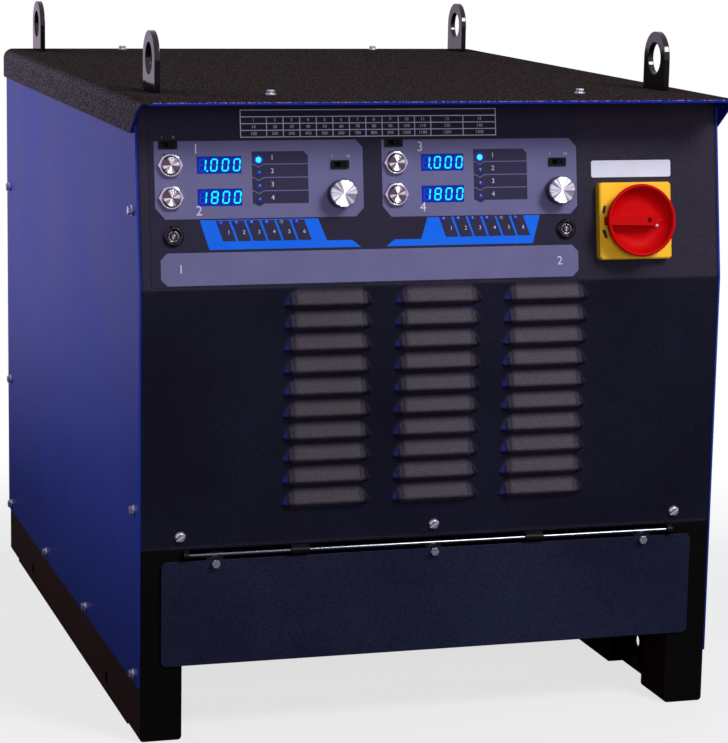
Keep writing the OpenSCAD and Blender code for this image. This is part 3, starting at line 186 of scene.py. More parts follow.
# Lifting bars: hot-rolled flat bar with a round eye, dipped in glossy black enamel
# and welded to the pan. They come up through slots in the hood.
# The eye sees a black mirror, a little wavy where the enamel sagged over some 14 mm.
SAG_MM = 14
enamel, tree = new_material("glossy_black_enamel")
place = add_node(tree, "ShaderNodeTexCoord").outputs["Object"]
sag = add_node(tree, "ShaderNodeTexNoise", {"Scale": 1000 / SAG_MM, "Detail": 2.0}, {"Vector": place})
tone = add_node(tree, "ShaderNodeMix", {"data_type": "RGBA", 6: linear("#060607"), 7: linear("#111114")},
                {0: sag.outputs["Fac"]})
edge = add_node(tree, "ShaderNodeBevel", {"samples": 6, "Radius": 0.0015})
bump = add_node(tree, "ShaderNodeBump", {"Strength": 0.35, "Distance": 0.0004},
                {"Height": sag.outputs["Fac"], "Normal": edge.outputs["Normal"]})
coat = add_node(tree, "ShaderNodeBsdfPrincipled", {"Roughness": 0.08, "IOR": 1.52},
                {"Base Color": tone.outputs[2], "Normal": bump.outputs["Normal"]})
add_node(tree, "ShaderNodeOutputMaterial", {}, {"Surface": coat.outputs["BSDF"]})
dress(enamel, "lifting_bar_front_left", "lifting_bar_front_right", "lifting_bar_rear_left",
      "lifting_bar_rear_right")

# Side panels: flat 2 mm sheet in satin blue powder coat, screwed to the skids and to
# the folds of the front and rear panels. Deep blue, with a grey sheen at a low angle.
# painted shade: the blue darkens towards the floor, fading out by 0.4 m
case_blue = powder_coat("blue_powder_coat", "#203394", "#293fa6", 2.2, 0.03, 0.4, 0.09,
                        foot=(-0.08, 0.4, "#0e1850"))
dress(case_blue, "left_side_panel", "right_side_panel")

# Front and rear panels: sheet with pressed louvres, folded along the edges, in a charcoal
# powder coat with a fine grain. Tones are painted by the way a face looks: the slope and the
# louvres' faces, which turn brown, are painted lighter, as light from above, the louvres' ends
# are painted darker, as shade, and further round their left ends lies a painted blue reflection.
charcoal = powder_coat("charcoal_powder_coat", "#090918", "#161629", 2.2, 0.2, 0.46, 0.14, 5.0,
                       (((0.0, 0.0, 1.0), 0.06, 0.13, "#1f1b2a", "#312b3d"),
                        ((0.0, 0.0, 1.0), 0.19, 0.38, "#261d27", "#3d3441"),
                        ((1.0, 0.0, 0.0), 0.25, 0.5, "#090912", "#12121d"),
                        ((-1.0, 0.0, 0.0), 0.2, 0.4, "#0b0b1c", "#15162c"),
                        ((-1.0, 0.0, 0.0), 0.5, 0.62, "#1a2568", "#2c3b94")))
dress(charcoal, "front_panel", "rear_panel")

# Hood: one folded sheet. Its outside has a coarse black texture paint, its inside and
# the cut edges keep the blue of the case. The paint looks dry and speckled: such grains are
# typically about 1 mm, and are drawn at 2.4 and 1.3 mm so that they show.
LUMP_MM, SPECK_MM = 2.4, 1.3
hood_paint, tree = new_material("black_texture_paint")
place = add_node(tree, "ShaderNodeTexCoord").outputs["Object"]
grain = add_node(tree, "ShaderNodeTexVoronoi", {"Scale": 1000 / LUMP_MM}, {"Vector": place})
fine = add_node(tree, "ShaderNodeTexNoise", {"Scale": 1000 / SPECK_MM, "Detail": 2.0}, {"Vector": place})
lumps = add_node(tree, "ShaderNodeMath", {"operation": "ADD"},
                 {0: grain.outputs["Distance"], 1: fine.outputs["Fac"]})
speck = add_node(tree, "ShaderNodeMapRange", {"From Min": 0.75, "From Max": 1.25},
                 {"Value": lumps.outputs["Value"]})
tone = add_node(tree, "ShaderNodeMix", {"data_type": "RGBA", 6: linear("#0f0c0c"), 7: linear("#413839")},
                {0: speck.outputs["Result"]})
# the flanges get a lighter, greyer pair of tones of their own: painted light on the hood's sides
facing = add_node(tree, "ShaderNodeNewGeometry")
upward = add_node(tree, "ShaderNodeSeparateXYZ", {}, {"Vector": facing.outputs["Normal"]})
aside = add_node(tree, "ShaderNodeMath", {"operation": "ABSOLUTE"}, {0: upward.outputs["X"]})
thin = add_node(tree, "ShaderNodeMapRange", {"From Min": 0.5, "From Max": 0.95},
                {"Value": aside.outputs["Value"]})
grey = add_node(tree, "ShaderNodeMix", {"data_type": "RGBA", 6: linear("#1e1b20"), 7: linear("#6a5f6f")},
                {0: speck.outputs["Result"]})
coat = add_node(tree, "ShaderNodeMix", {"data_type": "RGBA"},
                {0: thin.outputs["Result"], 6: tone.outputs[2], 7: grey.outputs[2]})
edge = add_node(tree, "ShaderNodeBevel", {"samples": 4, "Radius": 0.001})
bump = add_node(tree, "ShaderNodeBump", {"Strength": 0.9, "Distance": 0.0005},
                {"Height": lumps.outputs["Value"], "Normal": edge.outputs["Normal"]})
rough_coat = add_node(tree, "ShaderNodeBsdfPrincipled",
                      {"Roughness": 0.7, "IOR": 1.5, "Specular IOR Level": 0.0},
                      {"Base Color": coat.outputs[2], "Normal": bump.outputs["Normal"]})
# light specks along the visor's upper arris are painted highlights on its grainy edge
ARRIS_Z = 0.669
where = add_node(tree, "ShaderNodeSeparateXYZ", {}, {"Vector": place})
arris = add_node(tree, "ShaderNodeMath", {"operation": "GREATER_THAN", 1: ARRIS_Z}, {0: where.outputs["Z"]})
speck_highlight = add_node(tree, "ShaderNodeMath", {"operation": "GREATER_THAN", 1: 0.53}, {0: fine.outputs["Fac"]})
arris_highlight = add_node(tree, "ShaderNodeMath", {"operation": "MULTIPLY"},
                {0: arris.outputs["Value"], 1: speck_highlight.outputs["Value"]})
cut_tone = add_node(tree, "ShaderNodeMix",
                    {"data_type": "RGBA", 6: linear("#12208a"), 7: linear("#8d88a4")},
                    {0: arris_highlight.outputs["Value"]})
blue_coat = add_node(tree, "ShaderNodeBsdfPrincipled",
                     {"Roughness": 0.45, "IOR": 1.5, "Specular IOR Level": 0.15},
                     {"Base Color": cut_tone.outputs[2]})
# the inside is told from the outside by which way the sheet faces
under = add_node(tree, "ShaderNodeMath", {"operation": "LESS_THAN", 1: -0.2}, {0: upward.outputs["Z"]})
front_cut = add_node(tree, "ShaderNodeMath", {"operation": "LESS_THAN", 1: -0.9}, {0: upward.outputs["Y"]})
lean_in = add_node(tree, "ShaderNodeMath", {"operation": "MULTIPLY"},
                   {0: upward.outputs["X"], 1: where.outputs["X"]})
inner = add_node(tree, "ShaderNodeMath", {"operation": "LESS_THAN", 1: -0.05},
                 {0: lean_in.outputs["Value"]})
hollow = add_node(tree, "ShaderNodeMath", {"operation": "MAXIMUM"},
                  {0: under.outputs["Value"], 1: inner.outputs["Value"]})
inside = add_node(tree, "ShaderNodeMath", {"operation": "MAXIMUM"},
                  {0: hollow.outputs["Value"], 1: front_cut.outputs["Value"]})
both = add_node(tree, "ShaderNodeMixShader", {},
                {0: inside.outputs["Value"], 1: rough_coat.outputs["BSDF"], 2: blue_coat.outputs["BSDF"]})
add_node(tree, "ShaderNodeOutputMaterial", {}, {"Surface": both.outputs["Shader"]})
dress(hood_paint, "top_cover")

# Case and front panel screws: zinc-plated steel with pressed heads, driven through the
# sheets into the folds behind them.
dress(zinc_steel, "case_screws", "front_panel_screws")

# Control overlay: polyester film printed on its face, glued to the sloped panel.
# The print is laid on as thin patches of ink, in millimetres across and up the slope.
SLOPE = math.radians(8.4)
BEND = Vector((0, -0.412, 0.476))


def select_only(piece):
    """Makes a piece the one that the next operator acts on."""
    bpy.ops.object.select_all(action="DESELECT")
    piece.select_set(True)
    bpy.context.view_layer.objects.active = piece


def lay_on_slope(piece):
    """Turns a piece drawn flat onto the sloped panel and applies its place."""
    select_only(piece)
    piece.rotation_euler = (math.pi / 2 - SLOPE, 0, 0)
    piece.location = BEND
    bpy.ops.object.transform_apply(location=True, rotation=True, scale=True)


def ink_patch(outline, low, high):
    """A thin flat patch with the given outline, in mm, between two heights over the panel's face."""
    bpy.ops.object.select_all(action="DESELECT")
    bpy.ops.mesh.primitive_circle_add(vertices=len(outline), radius=0.01, fill_type="NGON")
    patch = bpy.context.object
    for vertex, (x, s) in zip(patch.data.vertices, outline):
        vertex.co = (x / 1000, s / 1000, low / 1000)
    bpy.ops.object.mode_set(mode="EDIT")
    bpy.ops.mesh.select_all(action="SELECT")
    bpy.ops.mesh.extrude_region_move(TRANSFORM_OT_translate={"value": (0, 0, (high - low) / 1000)})
    bpy.ops.mesh.select_all(action="SELECT")
    bpy.ops.mesh.normals_make_consistent(inside=False)
    bpy.ops.object.mode_set(mode="OBJECT")
    return patch


def print_together(name, patches, material):
    """Joins patches of one ink into a piece on the sloped panel."""
    piece = patches[0]
    select_only(piece)
    for patch in patches[1:]:
        patch.select_set(True)
    if len(patches) > 1:
        bpy.ops.object.join()
    piece.name = name
    piece.data.name = name
    lay_on_slope(piece)
    piece.data.materials.clear()
    piece.data.materials.append(material)
    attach(piece, "case")
    return piece


def cut_window(patch, x, s, width, height):
    """Punches a window through a patch that still lies flat."""
    bpy.ops.object.select_all(action="DESELECT")
    bpy.ops.mesh.primitive_cube_add(size=0.001, location=(x / 1000, s / 1000, 0))
    punch = bpy.context.object
    punch.scale = (width, height, 10)
    bpy.ops.object.transform_apply(location=True, rotation=True, scale=True)
    hole = patch.modifiers.new("window", "BOOLEAN")
    hole.operation = "DIFFERENCE"
    hole.object = punch
    select_only(patch)
    bpy.ops.object.modifier_apply(modifier="window")
    bpy.data.objects.remove(punch)


def numeral(text, x, s, height):
    """A plain printed number, centred at (x, s) and drawn as thin ink."""
    bpy.ops.object.select_all(action="DESELECT")
    bpy.ops.object.text_add()
    letters = bpy.context.object
    letters.data.body = text
    letters.data.size = height / 700
    letters.data.align_x = "CENTER"
    letters.data.align_y = "CENTER"
    letters.data.extrude = 0.00008
    letters.data.resolution_u = 3
    bpy.ops.object.convert(target="MESH")
    letters.location = (x / 1000, s / 1000, 0.00058)
    bpy.ops.object.transform_apply(location=True, rotation=True, scale=True)
    bpy.ops.object.mode_set(mode="EDIT")
    bpy.ops.mesh.select_all(action="SELECT")
    bpy.ops.mesh.remove_doubles(threshold=0.000001)
    bpy.ops.object.mode_set(mode="OBJECT")
    return letters


def box_outline(x0, x1, s0, s1):
    return [(x0, s0), (x1, s0), (x1, s1), (x0, s1)]


def ink(name, colour, worn, roughness):
    """Screen-printed ink: even colour with the faint mottle of the mesh.

    The mesh's threads, typically about 0.1 mm, are drawn at 0.6 mm so that they show.
    """
    return moulded_plastic(name, colour, worn, roughness, 0.6, 0.01, 0.12)


# matt film and inks: nearly flat tones with a soft sheen where the key light grazes them
film_dark = moulded_plastic("dark_polyester_film", "#231f32", "#2a263b", 0.44, 0.5, 0.01, 0.12)
dress(film_dark, "control_overlay")
ink_grey = ink("grey_screen_ink", "#646188", "#6f6c97", 0.42)
ink_blue = ink("blue_screen_ink", "#0d62ea", "#1a70f2", 0.4)
ink_black = ink("black_screen_ink", "#2c2843", "#35304d", 0.42)
ink_white = ink("white_screen_ink", "#c9c6dc", "#dcdaea", 0.45)

# each station's controls lie at the same distances from its column of buttons
STATIONS = (-284.5, -45.0)
UPPER_ROW, LOWER_ROW = 127, 94
DISPLAY_X, LAMP_X, DIAL_X = 51, 92.6, 179
MODE_SWITCH, STEP_SWITCH = (-2, 148), (DIAL_X, 126)

# two grey fields with cut corners, one strip along the lower edge
field_ink = (0.4, 0.56)
fields = [ink_patch(outline, *field_ink) for outline in (
    [(-301, 151.6), (-301, 84), (-291, 72.2), (-89, 72.2), (-80.5, 81), (-80.5, 143.5), (-88, 151.6)],
    [(-60, 151), (-60, 82), (-50.5, 71), (148.5, 71), (156, 79), (156, 142), (147.5, 151)],
    [(-297, 31), (-290, 38), (149, 38), (156, 31), (156, 11), (149.5, 4.4), (-290, 4.4), (-297, 11)])]
for field, station in zip(fields, STATIONS):
    for s in (UPPER_ROW, LOWER_ROW):
        cut_window(field, station + DISPLAY_X, s, 46.6, 17.6)
    for x, s in (MODE_SWITCH, STEP_SWITCH):
        cut_window(field, station + x, s, 17.4, 7.4)
print_together("overlay_grey_fields", fields, ink_grey)

# blue wedges below the fields, each with six slanted black bars
wedge_ink, bar_ink = (0.4, 0.55), (0.45, 0.6)
wedges = [ink_patch(outline, *wedge_ink) for outline in (
    [(-255.4, 71), (-130.2, 71), (-121, 48), (-94, 48), (-84.5, 40.5), (-245.7, 40.5)],
    [(113.5, 70), (-11.5, 70), (-19, 47.5), (-48, 47.5), (-57.2, 40.5), (104.9, 40.5)])]
print_together("overlay_blue_wedges", wedges, ink_blue)
bars = []
bar_pitch = 16
for station in STATIONS:
    for i in range(6):
        left = station + 46 + bar_pitch * i
        outline = [(left, 70.2), (left + 13.4, 70.2), (left + 21.2, 49), (left + 7.4, 49)]
        bars.append(ink_patch(outline, *bar_ink))

# black menu lists: four rows, each lower edge dips in a V below its lamp
tops = [140.4, 126.8, 113.2, 99.6]
for station in STATIONS:
    x0, x1 = station + 85.5, station + 145
    lamp = station + LAMP_X
    for i, top in enumerate(tops):
        low = top - 12.6
        right = [(x1, low), (x1, top)] if i else [(x1, low), (x1, top - 4.5), (x1 - 4.5, top)]
        notch = [(lamp + 5.2, top), (lamp, top - 3), (lamp - 5.2, top)] if i else []
        foot = [(lamp - 5.2, low), (lamp, low - 3), (lamp + 5.2, low)]
        bars.append(ink_patch([(x0, low)] + foot + right + notch + [(x0, top)], *bar_ink))
print_together("overlay_black_lists", bars, ink_black)

# white rules of the chart above the fields: four rows and thirteen columns, cells left bare
rules = []
line = 0.45
chart_left, chart_right, chart_low, chart_high = -210, 66, 155, 182.6
first_cell, cell = 27.5, 17.7
row = (chart_high - chart_low) / 4
row_ink, column_ink = (0.45, 0.6), (0.45, 0.58)
for i in range(5):
    s = chart_low + row * i
    outline = box_outline(chart_left - line, chart_right + line, s - line, s + line)
    rules.append(ink_patch(outline, *row_ink))
columns = ([chart_left, chart_left + first_cell]
           + [chart_left + first_cell + cell * (i + 1) for i in range(10)] + [30, chart_right])
for i, x in enumerate(columns):
    high = chart_high if i in (0, len(columns) - 1) else chart_high - row
    rules.append(ink_patch(box_outline(x - line, x + line, chart_low, high), *column_ink))
print_together("overlay_chart_rules", rules, ink_white)

# plain numbers: chart cells, displays, list rows, status bars, switch ends, stations
figures = []
for i, (x0, x1) in enumerate(zip(columns, columns[1:])):
    for j, step in enumerate((100, 10, 1)):
        figures.append(numeral(str(step * (i + 1)), (x0 + x1) / 2, chart_low + row * (j + 0.5), 3.2))
for i, station in enumerate(STATIONS):
    figures.append(numeral(str(2 * i + 1), station + 27, 143.2, 10))
    figures.append(numeral(str(2 * i + 2), station + 29, 80.2, 10))
    figures += [numeral(str(k + 1), station + 107, tops[k] - 6.6, 5) for k in range(4)]
    figures += [numeral(str(k + 1), station + 59.5 + bar_pitch * k, 58, 4) for k in range(6)]
    figures += [numeral("1", station - 8, 155.6, 2.6), numeral("2", station + 4, 155.6, 2.6)]
    figures += [numeral("1", station + 171, 134.6, 3), numeral("10", station + 188, 134.6, 3)]
    figures.append(numeral(str(i + 1), (-276, 135)[i], 21.2, 9))
print_together("overlay_plain_numbers", figures, ink_white)

# Display modules: moulded blocks with a deep blue face and four slanted digits of seven
# segments each. They sit in the overlay's windows on their circuit boards. The lit segments
# glow cyan, the others are barely lighter than the face.
def glowing(name, colour, strength):
    """Lit plastic: its colour is given off evenly, with a faint mottle of the diffuser."""
    material, tree = new_material(name)
    place = add_node(tree, "ShaderNodeTexCoord").outputs["Object"]
    mottle = add_node(tree, "ShaderNodeTexNoise", {"Scale": 1000 / 3, "Detail": 1.0}, {"Vector": place})
    level = add_node(tree, "ShaderNodeMapRange", {"To Min": strength * 0.9, "To Max": strength * 1.1},
                     {"Value": mottle.outputs["Fac"]})
    lit = add_node(tree, "ShaderNodeBsdfPrincipled",
                   {"Base Color": linear(colour), "Emission Color": linear(colour), "Roughness": 0.3,
                    "Specular IOR Level": 0.1},
                   {"Emission Strength": level.outputs["Result"]})
    add_node(tree, "ShaderNodeOutputMaterial", {}, {"Surface": lit.outputs["BSDF"]})
    return material


display_face = glowing("blue_display_face", "#0c2496", 0.3)
dress(display_face, "left_display_board", "right_display_board")
digit_lit = glowing("lit_display_segment", "#0fd2ff", 1.0)
digit_dark = glowing("dark_display_segment", "#1b3ab0", 0.4)
dress(moulded_plastic("green_circuit_board", "#0d3a20", "#135029", 0.4, 1.0, 0.02), "control_board")

DIGIT = {"0": "abcdef", "1": "bc", "8": "abcdefg"}
digit_w, digit_h, stroke = 6.2, 11.6, 1.5
lean = math.tan(math.radians(6))


def segment(letter, x, s):
    """Outline of one segment of the digit centred at (x, s)."""
    out, half_up, quarter_up = digit_w / 2, digit_h / 2, digit_h / 4
    middle = {"a": (0, half_up), "d": (0, -half_up), "g": (0, 0), "b": (out, quarter_up),
              "c": (out, -quarter_up), "f": (-out, quarter_up), "e": (-out, -quarter_up)}
    mx, ms = middle[letter]
    half, t = (digit_w / 2 - 0.25, stroke / 2) if letter in "adg" else (digit_h / 4 - 0.25, stroke / 2)
    shape = [(-half, 0), (t - half, -t), (half - t, -t), (half, 0), (half - t, t), (t - half, t)]
    if letter not in "adg":
        shape = [(-b, a) for a, b in shape]
    return [(x + mx + a + (ms + b) * lean, s + ms + b) for a, b in shape]


def round_outline(x, s, radius, sides):
    turns = [2 * math.pi * k / sides for k in range(sides)]
    return [(x + radius * math.cos(a), s + radius * math.sin(a)) for a in turns]


digit_ink, digit_pitch = (0.2, 0.36), 12
lit, dark = [], []
for station in STATIONS:
    for s, text in ((UPPER_ROW, "1000"), (LOWER_ROW, "1800")):
        for i, figure in enumerate(text):
            x = station + DISPLAY_X + digit_pitch * (i - 1.5) + 0.8
            for letter in "abcdefg":
                on = letter in DIGIT[figure]
                (lit if on else dark).append(ink_patch(segment(letter, x, s), *digit_ink))
    point_x, point_s = station + DISPLAY_X - 1.5 * digit_pitch + 5.6, UPPER_ROW - digit_h / 2 - 0.2
    lit.append(ink_patch(round_outline(point_x, point_s, 0.9, 12), *digit_ink))
print_together("lit_display_segments", lit, digit_lit)
print_together("dark_display_segments", dark, digit_dark)

# Indicator lamps: round acrylic lenses pressed into the film, deep blue with a small
# highlight. The top lamp of each list is lit, and the fifth of each row of bars is clear.
LENS_R = 2.9
lens_blue = moulded_plastic("blue_acrylic_lens", "#142c8c", "#1d3db4", 0.2, 0.8, 0.005)
dress(lens_blue, "indicator_lenses")


def lens_cover(name, places, material):
    """Domed caps over single lenses: a flat disc, its middle drawn up and smoothed."""
    caps = []
    for x, s in places:
        bpy.ops.object.select_all(action="DESELECT")
        bpy.ops.mesh.primitive_uv_sphere_add(segments=24, ring_count=12, radius=LENS_R / 1000,
                                             location=(x / 1000, s / 1000, 0.0006))
        bpy.ops.object.mode_set(mode="EDIT")
        bpy.ops.mesh.select_all(action="SELECT")
        bpy.ops.transform.resize(value=(1, 1, 0.5))
        bpy.ops.mesh.bisect(plane_co=(0, 0, 0.0003), plane_no=(0, 0, 1), use_fill=True, clear_inner=True)
        bpy.ops.object.mode_set(mode="OBJECT")
        bpy.ops.object.transform_apply(location=True, rotation=True, scale=True)
        caps.append(bpy.context.object)
    piece = print_together(name, caps, material)
    select_only(piece)
    bpy.ops.object.shade_smooth_by_angle(angle=math.radians(40))


lit_places = [(x + LAMP_X, 131.8) for x in STATIONS]
lens_cover("lit_menu_lamps", lit_places, glowing("lit_blue_lamp", "#27b4ff", 2.2))

# the film round a lit lamp is lit from behind: bright at the lens, black ink some 6 mm out
HALO_R = 6.2
halo, tree = new_material("film_lit_from_behind")
place = add_node(tree, "ShaderNodeTexCoord").outputs["Object"]
away = None
for x, s in lit_places:
    centre = BEND + Vector((x / 1000, s / 1000 * math.sin(SLOPE), s / 1000 * math.cos(SLOPE)))
    reach = add_node(tree, "ShaderNodeVectorMath", {"operation": "DISTANCE", 1: centre}, {0: place})
    away = reach if away is None else add_node(tree, "ShaderNodeMath", {"operation": "MINIMUM"},
                                               {0: away.outputs["Value"], 1: reach.outputs["Value"]})
level = add_node(tree, "ShaderNodeMapRange",
                 {"interpolation_type": "SMOOTHSTEP", "From Min": 0.0018, "From Max": HALO_R / 1000,
                  "To Min": 1.0, "To Max": 0.0}, {"Value": away.outputs["Value"]})
lit = add_node(tree, "ShaderNodeBsdfPrincipled",
               {"Base Color": linear("#221f2e"), "Emission Color": linear("#0b3df0"), "Roughness": 0.42,
                "Specular IOR Level": 0.2},
               {"Emission Strength": level.outputs["Result"]})
add_node(tree, "ShaderNodeOutputMaterial", {}, {"Surface": lit.outputs["BSDF"]})
discs = [ink_patch(round_outline(x, s, HALO_R, 24), 0.5, 0.64) for x, s in lit_places]
print_together("lit_lamp_halos", discs, halo)
lens_cover("clear_status_lamps", [(x + 50.8 + 4 * bar_pitch, 67.5) for x in STATIONS],
           moulded_plastic("clear_acrylic_lens", "#4b4a55", "#63626c", 0.2, 0.8, 0.005))

# Push buttons, key plugs and setting dials: turned metal with concentric tool marks on
# the faces. The dials are spun aluminium, buttons and plugs are chrome plated.
def turned_metal(name, bright, dull, side, roughness, centre, ring_mm, fan, petals):
    """Turned metal: tool rings round the axis fan the light out over the face, helped by a painted sheen of
    bright and dull wedges in its colour, and the side is painted darker, as shade.

    Such rings are typically about 0.1 mm apart, and are drawn coarser so that they show.
    """
    material, tree = new_material(name)
    place = add_node(tree, "ShaderNodeTexCoord").outputs["Object"]
    x, s = centre
    axis = BEND + Vector((x / 1000, s / 1000 * math.sin(SLOPE), s / 1000 * math.cos(SLOPE)))
    turn = add_node(tree, "ShaderNodeMapping",
                    {"vector_type": "TEXTURE", "Location": axis, "Rotation": (math.pi / 2 - SLOPE, 0, 0)},
                    {"Vector": place})
    flat = add_node(tree, "ShaderNodeVectorMath", {"operation": "MULTIPLY", 1: (1.0, 1.0, 0.0)},
                    {0: turn.outputs["Vector"]})
    away = add_node(tree, "ShaderNodeVectorMath", {"operation": "LENGTH"}, {0: flat.outputs["Vector"]})
    turns = add_node(tree, "ShaderNodeMath", {"operation": "MULTIPLY", 1: 2 * math.pi * 1000 / ring_mm},
                     {0: away.outputs["Value"]})
    groove = add_node(tree, "ShaderNodeMath", {"operation": "SINE"}, {0: turns.outputs["Value"]})
    ray = add_node(tree, "ShaderNodeVectorMath", {"operation": "NORMALIZE"}, {0: flat.outputs["Vector"]})
    # painted sheen: bright and dull wedges fanned round the axis, and on the buttons four petals
    painted_wedge_sheen = add_node(tree, "ShaderNodeTexNoise", {"Scale": fan, "Detail": 3.0},
                      {"Vector": ray.outputs["Vector"]})
    streak = add_node(tree, "ShaderNodeMapRange", {"From Min": 0.47, "From Max": 0.57},
                      {"Value": painted_wedge_sheen.outputs["Fac"]})
    part = add_node(tree, "ShaderNodeSeparateXYZ", {}, {"Vector": ray.outputs["Vector"]})
    cross = add_node(tree, "ShaderNodeMath", {"operation": "MULTIPLY"},
                     {0: part.outputs["X"], 1: part.outputs["Y"]})
    square = add_node(tree, "ShaderNodeMath", {"operation": "ABSOLUTE"}, {0: cross.outputs["Value"]})
    petal = add_node(tree, "ShaderNodeMapRange", {"From Min": 0.28, "From Max": 0.46, "To Max": petals},
                     {"Value": square.outputs["Value"]})
    shade = add_node(tree, "ShaderNodeMath", {"operation": "MAXIMUM"},
                     {0: streak.outputs["Result"], 1: petal.outputs["Result"]})
    tone = add_node(tree, "ShaderNodeMix", {"data_type": "RGBA", 6: linear(bright), 7: linear(dull)},
                    {0: shade.outputs["Value"]})
    # painted shade: the sides, which turn away from the slope's normal, take the side tone
    facing = add_node(tree, "ShaderNodeNewGeometry")
    outward = add_node(tree, "ShaderNodeVectorMath",
                       {"operation": "DOT_PRODUCT", 1: (0.0, -math.cos(SLOPE), math.sin(SLOPE))},
                       {0: facing.outputs["Normal"]})
    level = add_node(tree, "ShaderNodeMapRange", {"From Min": 0.35, "From Max": 0.75},
                     {"Value": outward.outputs["Value"]})
    finish = add_node(tree, "ShaderNodeMix", {"data_type": "RGBA", 6: linear(side)},
                      {0: level.outputs["Result"], 7: tone.outputs[2]})
    edge = add_node(tree, "ShaderNodeBevel", {"samples": 4, "Radius": 0.0005})
    bump = add_node(tree, "ShaderNodeBump", {"Strength": 0.5, "Distance": ring_mm / 1000 * 0.1},
                    {"Height": groove.outputs["Value"], "Normal": edge.outputs["Normal"]})
    metal = add_node(tree, "ShaderNodeBsdfPrincipled", {"Metallic": 1.0, "Roughness": roughness},
                     {"Base Color": finish.outputs[2], "Normal": bump.outputs["Normal"]})
    add_node(tree, "ShaderNodeOutputMaterial", {}, {"Surface": metal.outputs["BSDF"]})
    return material


# finish, bright, dull, side, roughness, ring mm, fan, petals, then each piece's axis
# bright and dull are the painted sheen's tones, side is the painted shade's tone
turned = (
    ("chrome_plated_", "#f4f4fc", "#6a5e63", "#a9abb4", 0.26, 1.0, 1.2, 1.0, {
        "left_upper_button": (STATIONS[0], UPPER_ROW), "left_lower_button": (STATIONS[0], LOWER_ROW),
        "right_upper_button": (STATIONS[1], UPPER_ROW), "right_lower_button": (STATIONS[1], LOWER_ROW)}),
    ("chrome_plated_", "#85838b", "#3a3233", "#5a585e", 0.22, 0.8, 2.0, 0.0, {
        "left_key_plug": (-283, 55), "right_key_plug": (142.6, 55)}),
    ("spun_aluminium_", "#f4f5fc", "#92939f", "#4c4d58", 0.3, 0.8, 3.0, 0.0, {
        "left_dial_knob": (STATIONS[0] + DIAL_X, 95.5), "right_dial_knob": (STATIONS[1] + DIAL_X, 95.5)}),
)
for finish, bright, dull, side, roughness, ring_mm, fan, petals, pieces in turned:
    for name, centre in pieces.items():
        dress(turned_metal(finish + name, bright, dull, side, roughness, centre, ring_mm, fan, petals), name)
# polished chrome on the nuts: light and dark patches with hard borders
chrome = plain_metal("chrome_plated_brass", "#c2c3d0", "#ececf6", 0.14, 2.0, 2.0)
dress(chrome, "push_button_bezels")
dress(zinc_steel, "left_dial_spindle", "right_dial_spindle", "left_encoder_plunger",
      "right_encoder_plunger", "disconnect_shaft")

# Key lock collars and slide switches: black mouldings snapped into the panel. The collars
# are polished ABS with a sharp highlight, the switches have the dull grain of polyamide.
collar_black = moulded_plastic("polished_black_abs", "#060607", "#0e0e10", 0.16, 0.6, 0.005)
dress(collar_black, "key_switch_housings")
dress(black_plastic, "slide_switch_housings", "left_mode_slider", "left_step_slider", "right_mode_slider",
      "right_step_slider")

# Disconnect: yellow moulded plate and a dished red handle on the switch's shaft, both of
# polycarbonate with a soft sheen. The plate has two small windows beside the pointer, and a
# bright hasp shows in the dish.
HANDLE_X, HANDLE_S = 218.5, 62
yellow = moulded_plastic("yellow_polycarbonate", "#ffba1a", "#ffcb34", 0.36, 0.6, 0.02, 0.3)
dress(yellow, "disconnect_plate")
red = moulded_plastic("red_polycarbonate", "#bf0509", "#cb0b10", 0.5, 0.6, 0.02, 0.05)
dress(red, "disconnect_handle")
windows = [ink_patch([(HANDLE_X + x, HANDLE_S + s) for x, s in outline], 10.8, 11.1) for outline in (
    [(-38.6, 8.5), (-35.6, 8.5), (-33.4, 16.5), (-36.6, 16.5)],
    [(-35.6, -18), (-32.6, -18), (-35.2, -9), (-38.6, -9)])]
print_together("disconnect_plate_windows", windows, ink_black)
bpy.ops.object.select_all(action="DESELECT")
bpy.ops.mesh.primitive_cylinder_add(vertices=24, radius=0.0024, depth=0.0034,
                                    location=(0.2394, 0.0564, 0.0169))
hasp = bpy.context.object
hasp.name = hasp.data.name = "padlock_hasp_end"
rounding = hasp.modifiers.new("rounding", "BEVEL")
rounding.width, rounding.segments = 0.0012, 4
bpy.ops.object.modifier_apply(modifier="rounding")
bpy.ops.object.transform_apply(location=True, rotation=True, scale=True)
lay_on_slope(hasp)
bpy.ops.object.shade_smooth_by_angle(angle=math.radians(40))
hasp.data.materials.append(zinc_steel)
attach(hasp, "disconnect")

# Label plate: a thin white polyester plate with round corners, glued above the disconnect
# and left bare. Slightly blue white, matt.
corner = 2.2
label_left, label_right = 172.8 + corner, 263.8 - corner
label_low, label_high = 108.8 + corner, 126.8 - corner
outline = []
for cx, cs, start in ((label_right, label_high, 0), (label_left, label_high, 90),
                      (label_left, label_low, 180), (label_right, label_low, 270)):
    for k in range(7):
        a = math.radians(start + 15 * k)
        outline.append((cx + corner * math.cos(a), cs + corner * math.sin(a)))
label_white = moulded_plastic("white_polyester_label", "#cfd0e6", "#dddff3", 0.4, 0.6, 0.01)
print_together("blank_label_plate", [ink_patch(outline, -0.2, 0.4)], label_white)

# Flap over the socket bay: navy painted sheet on a bright turning rod, which runs in
# black knuckles under the front panel. The paint has the front panel's grain, in blue.
flap_paint = powder_coat("navy_powder_coat", "#121429", "#22253c", 2.2, 0.2, 0.46, 0.12)
dress(flap_paint, "flap")
dress(zinc_steel, "flap_screws")

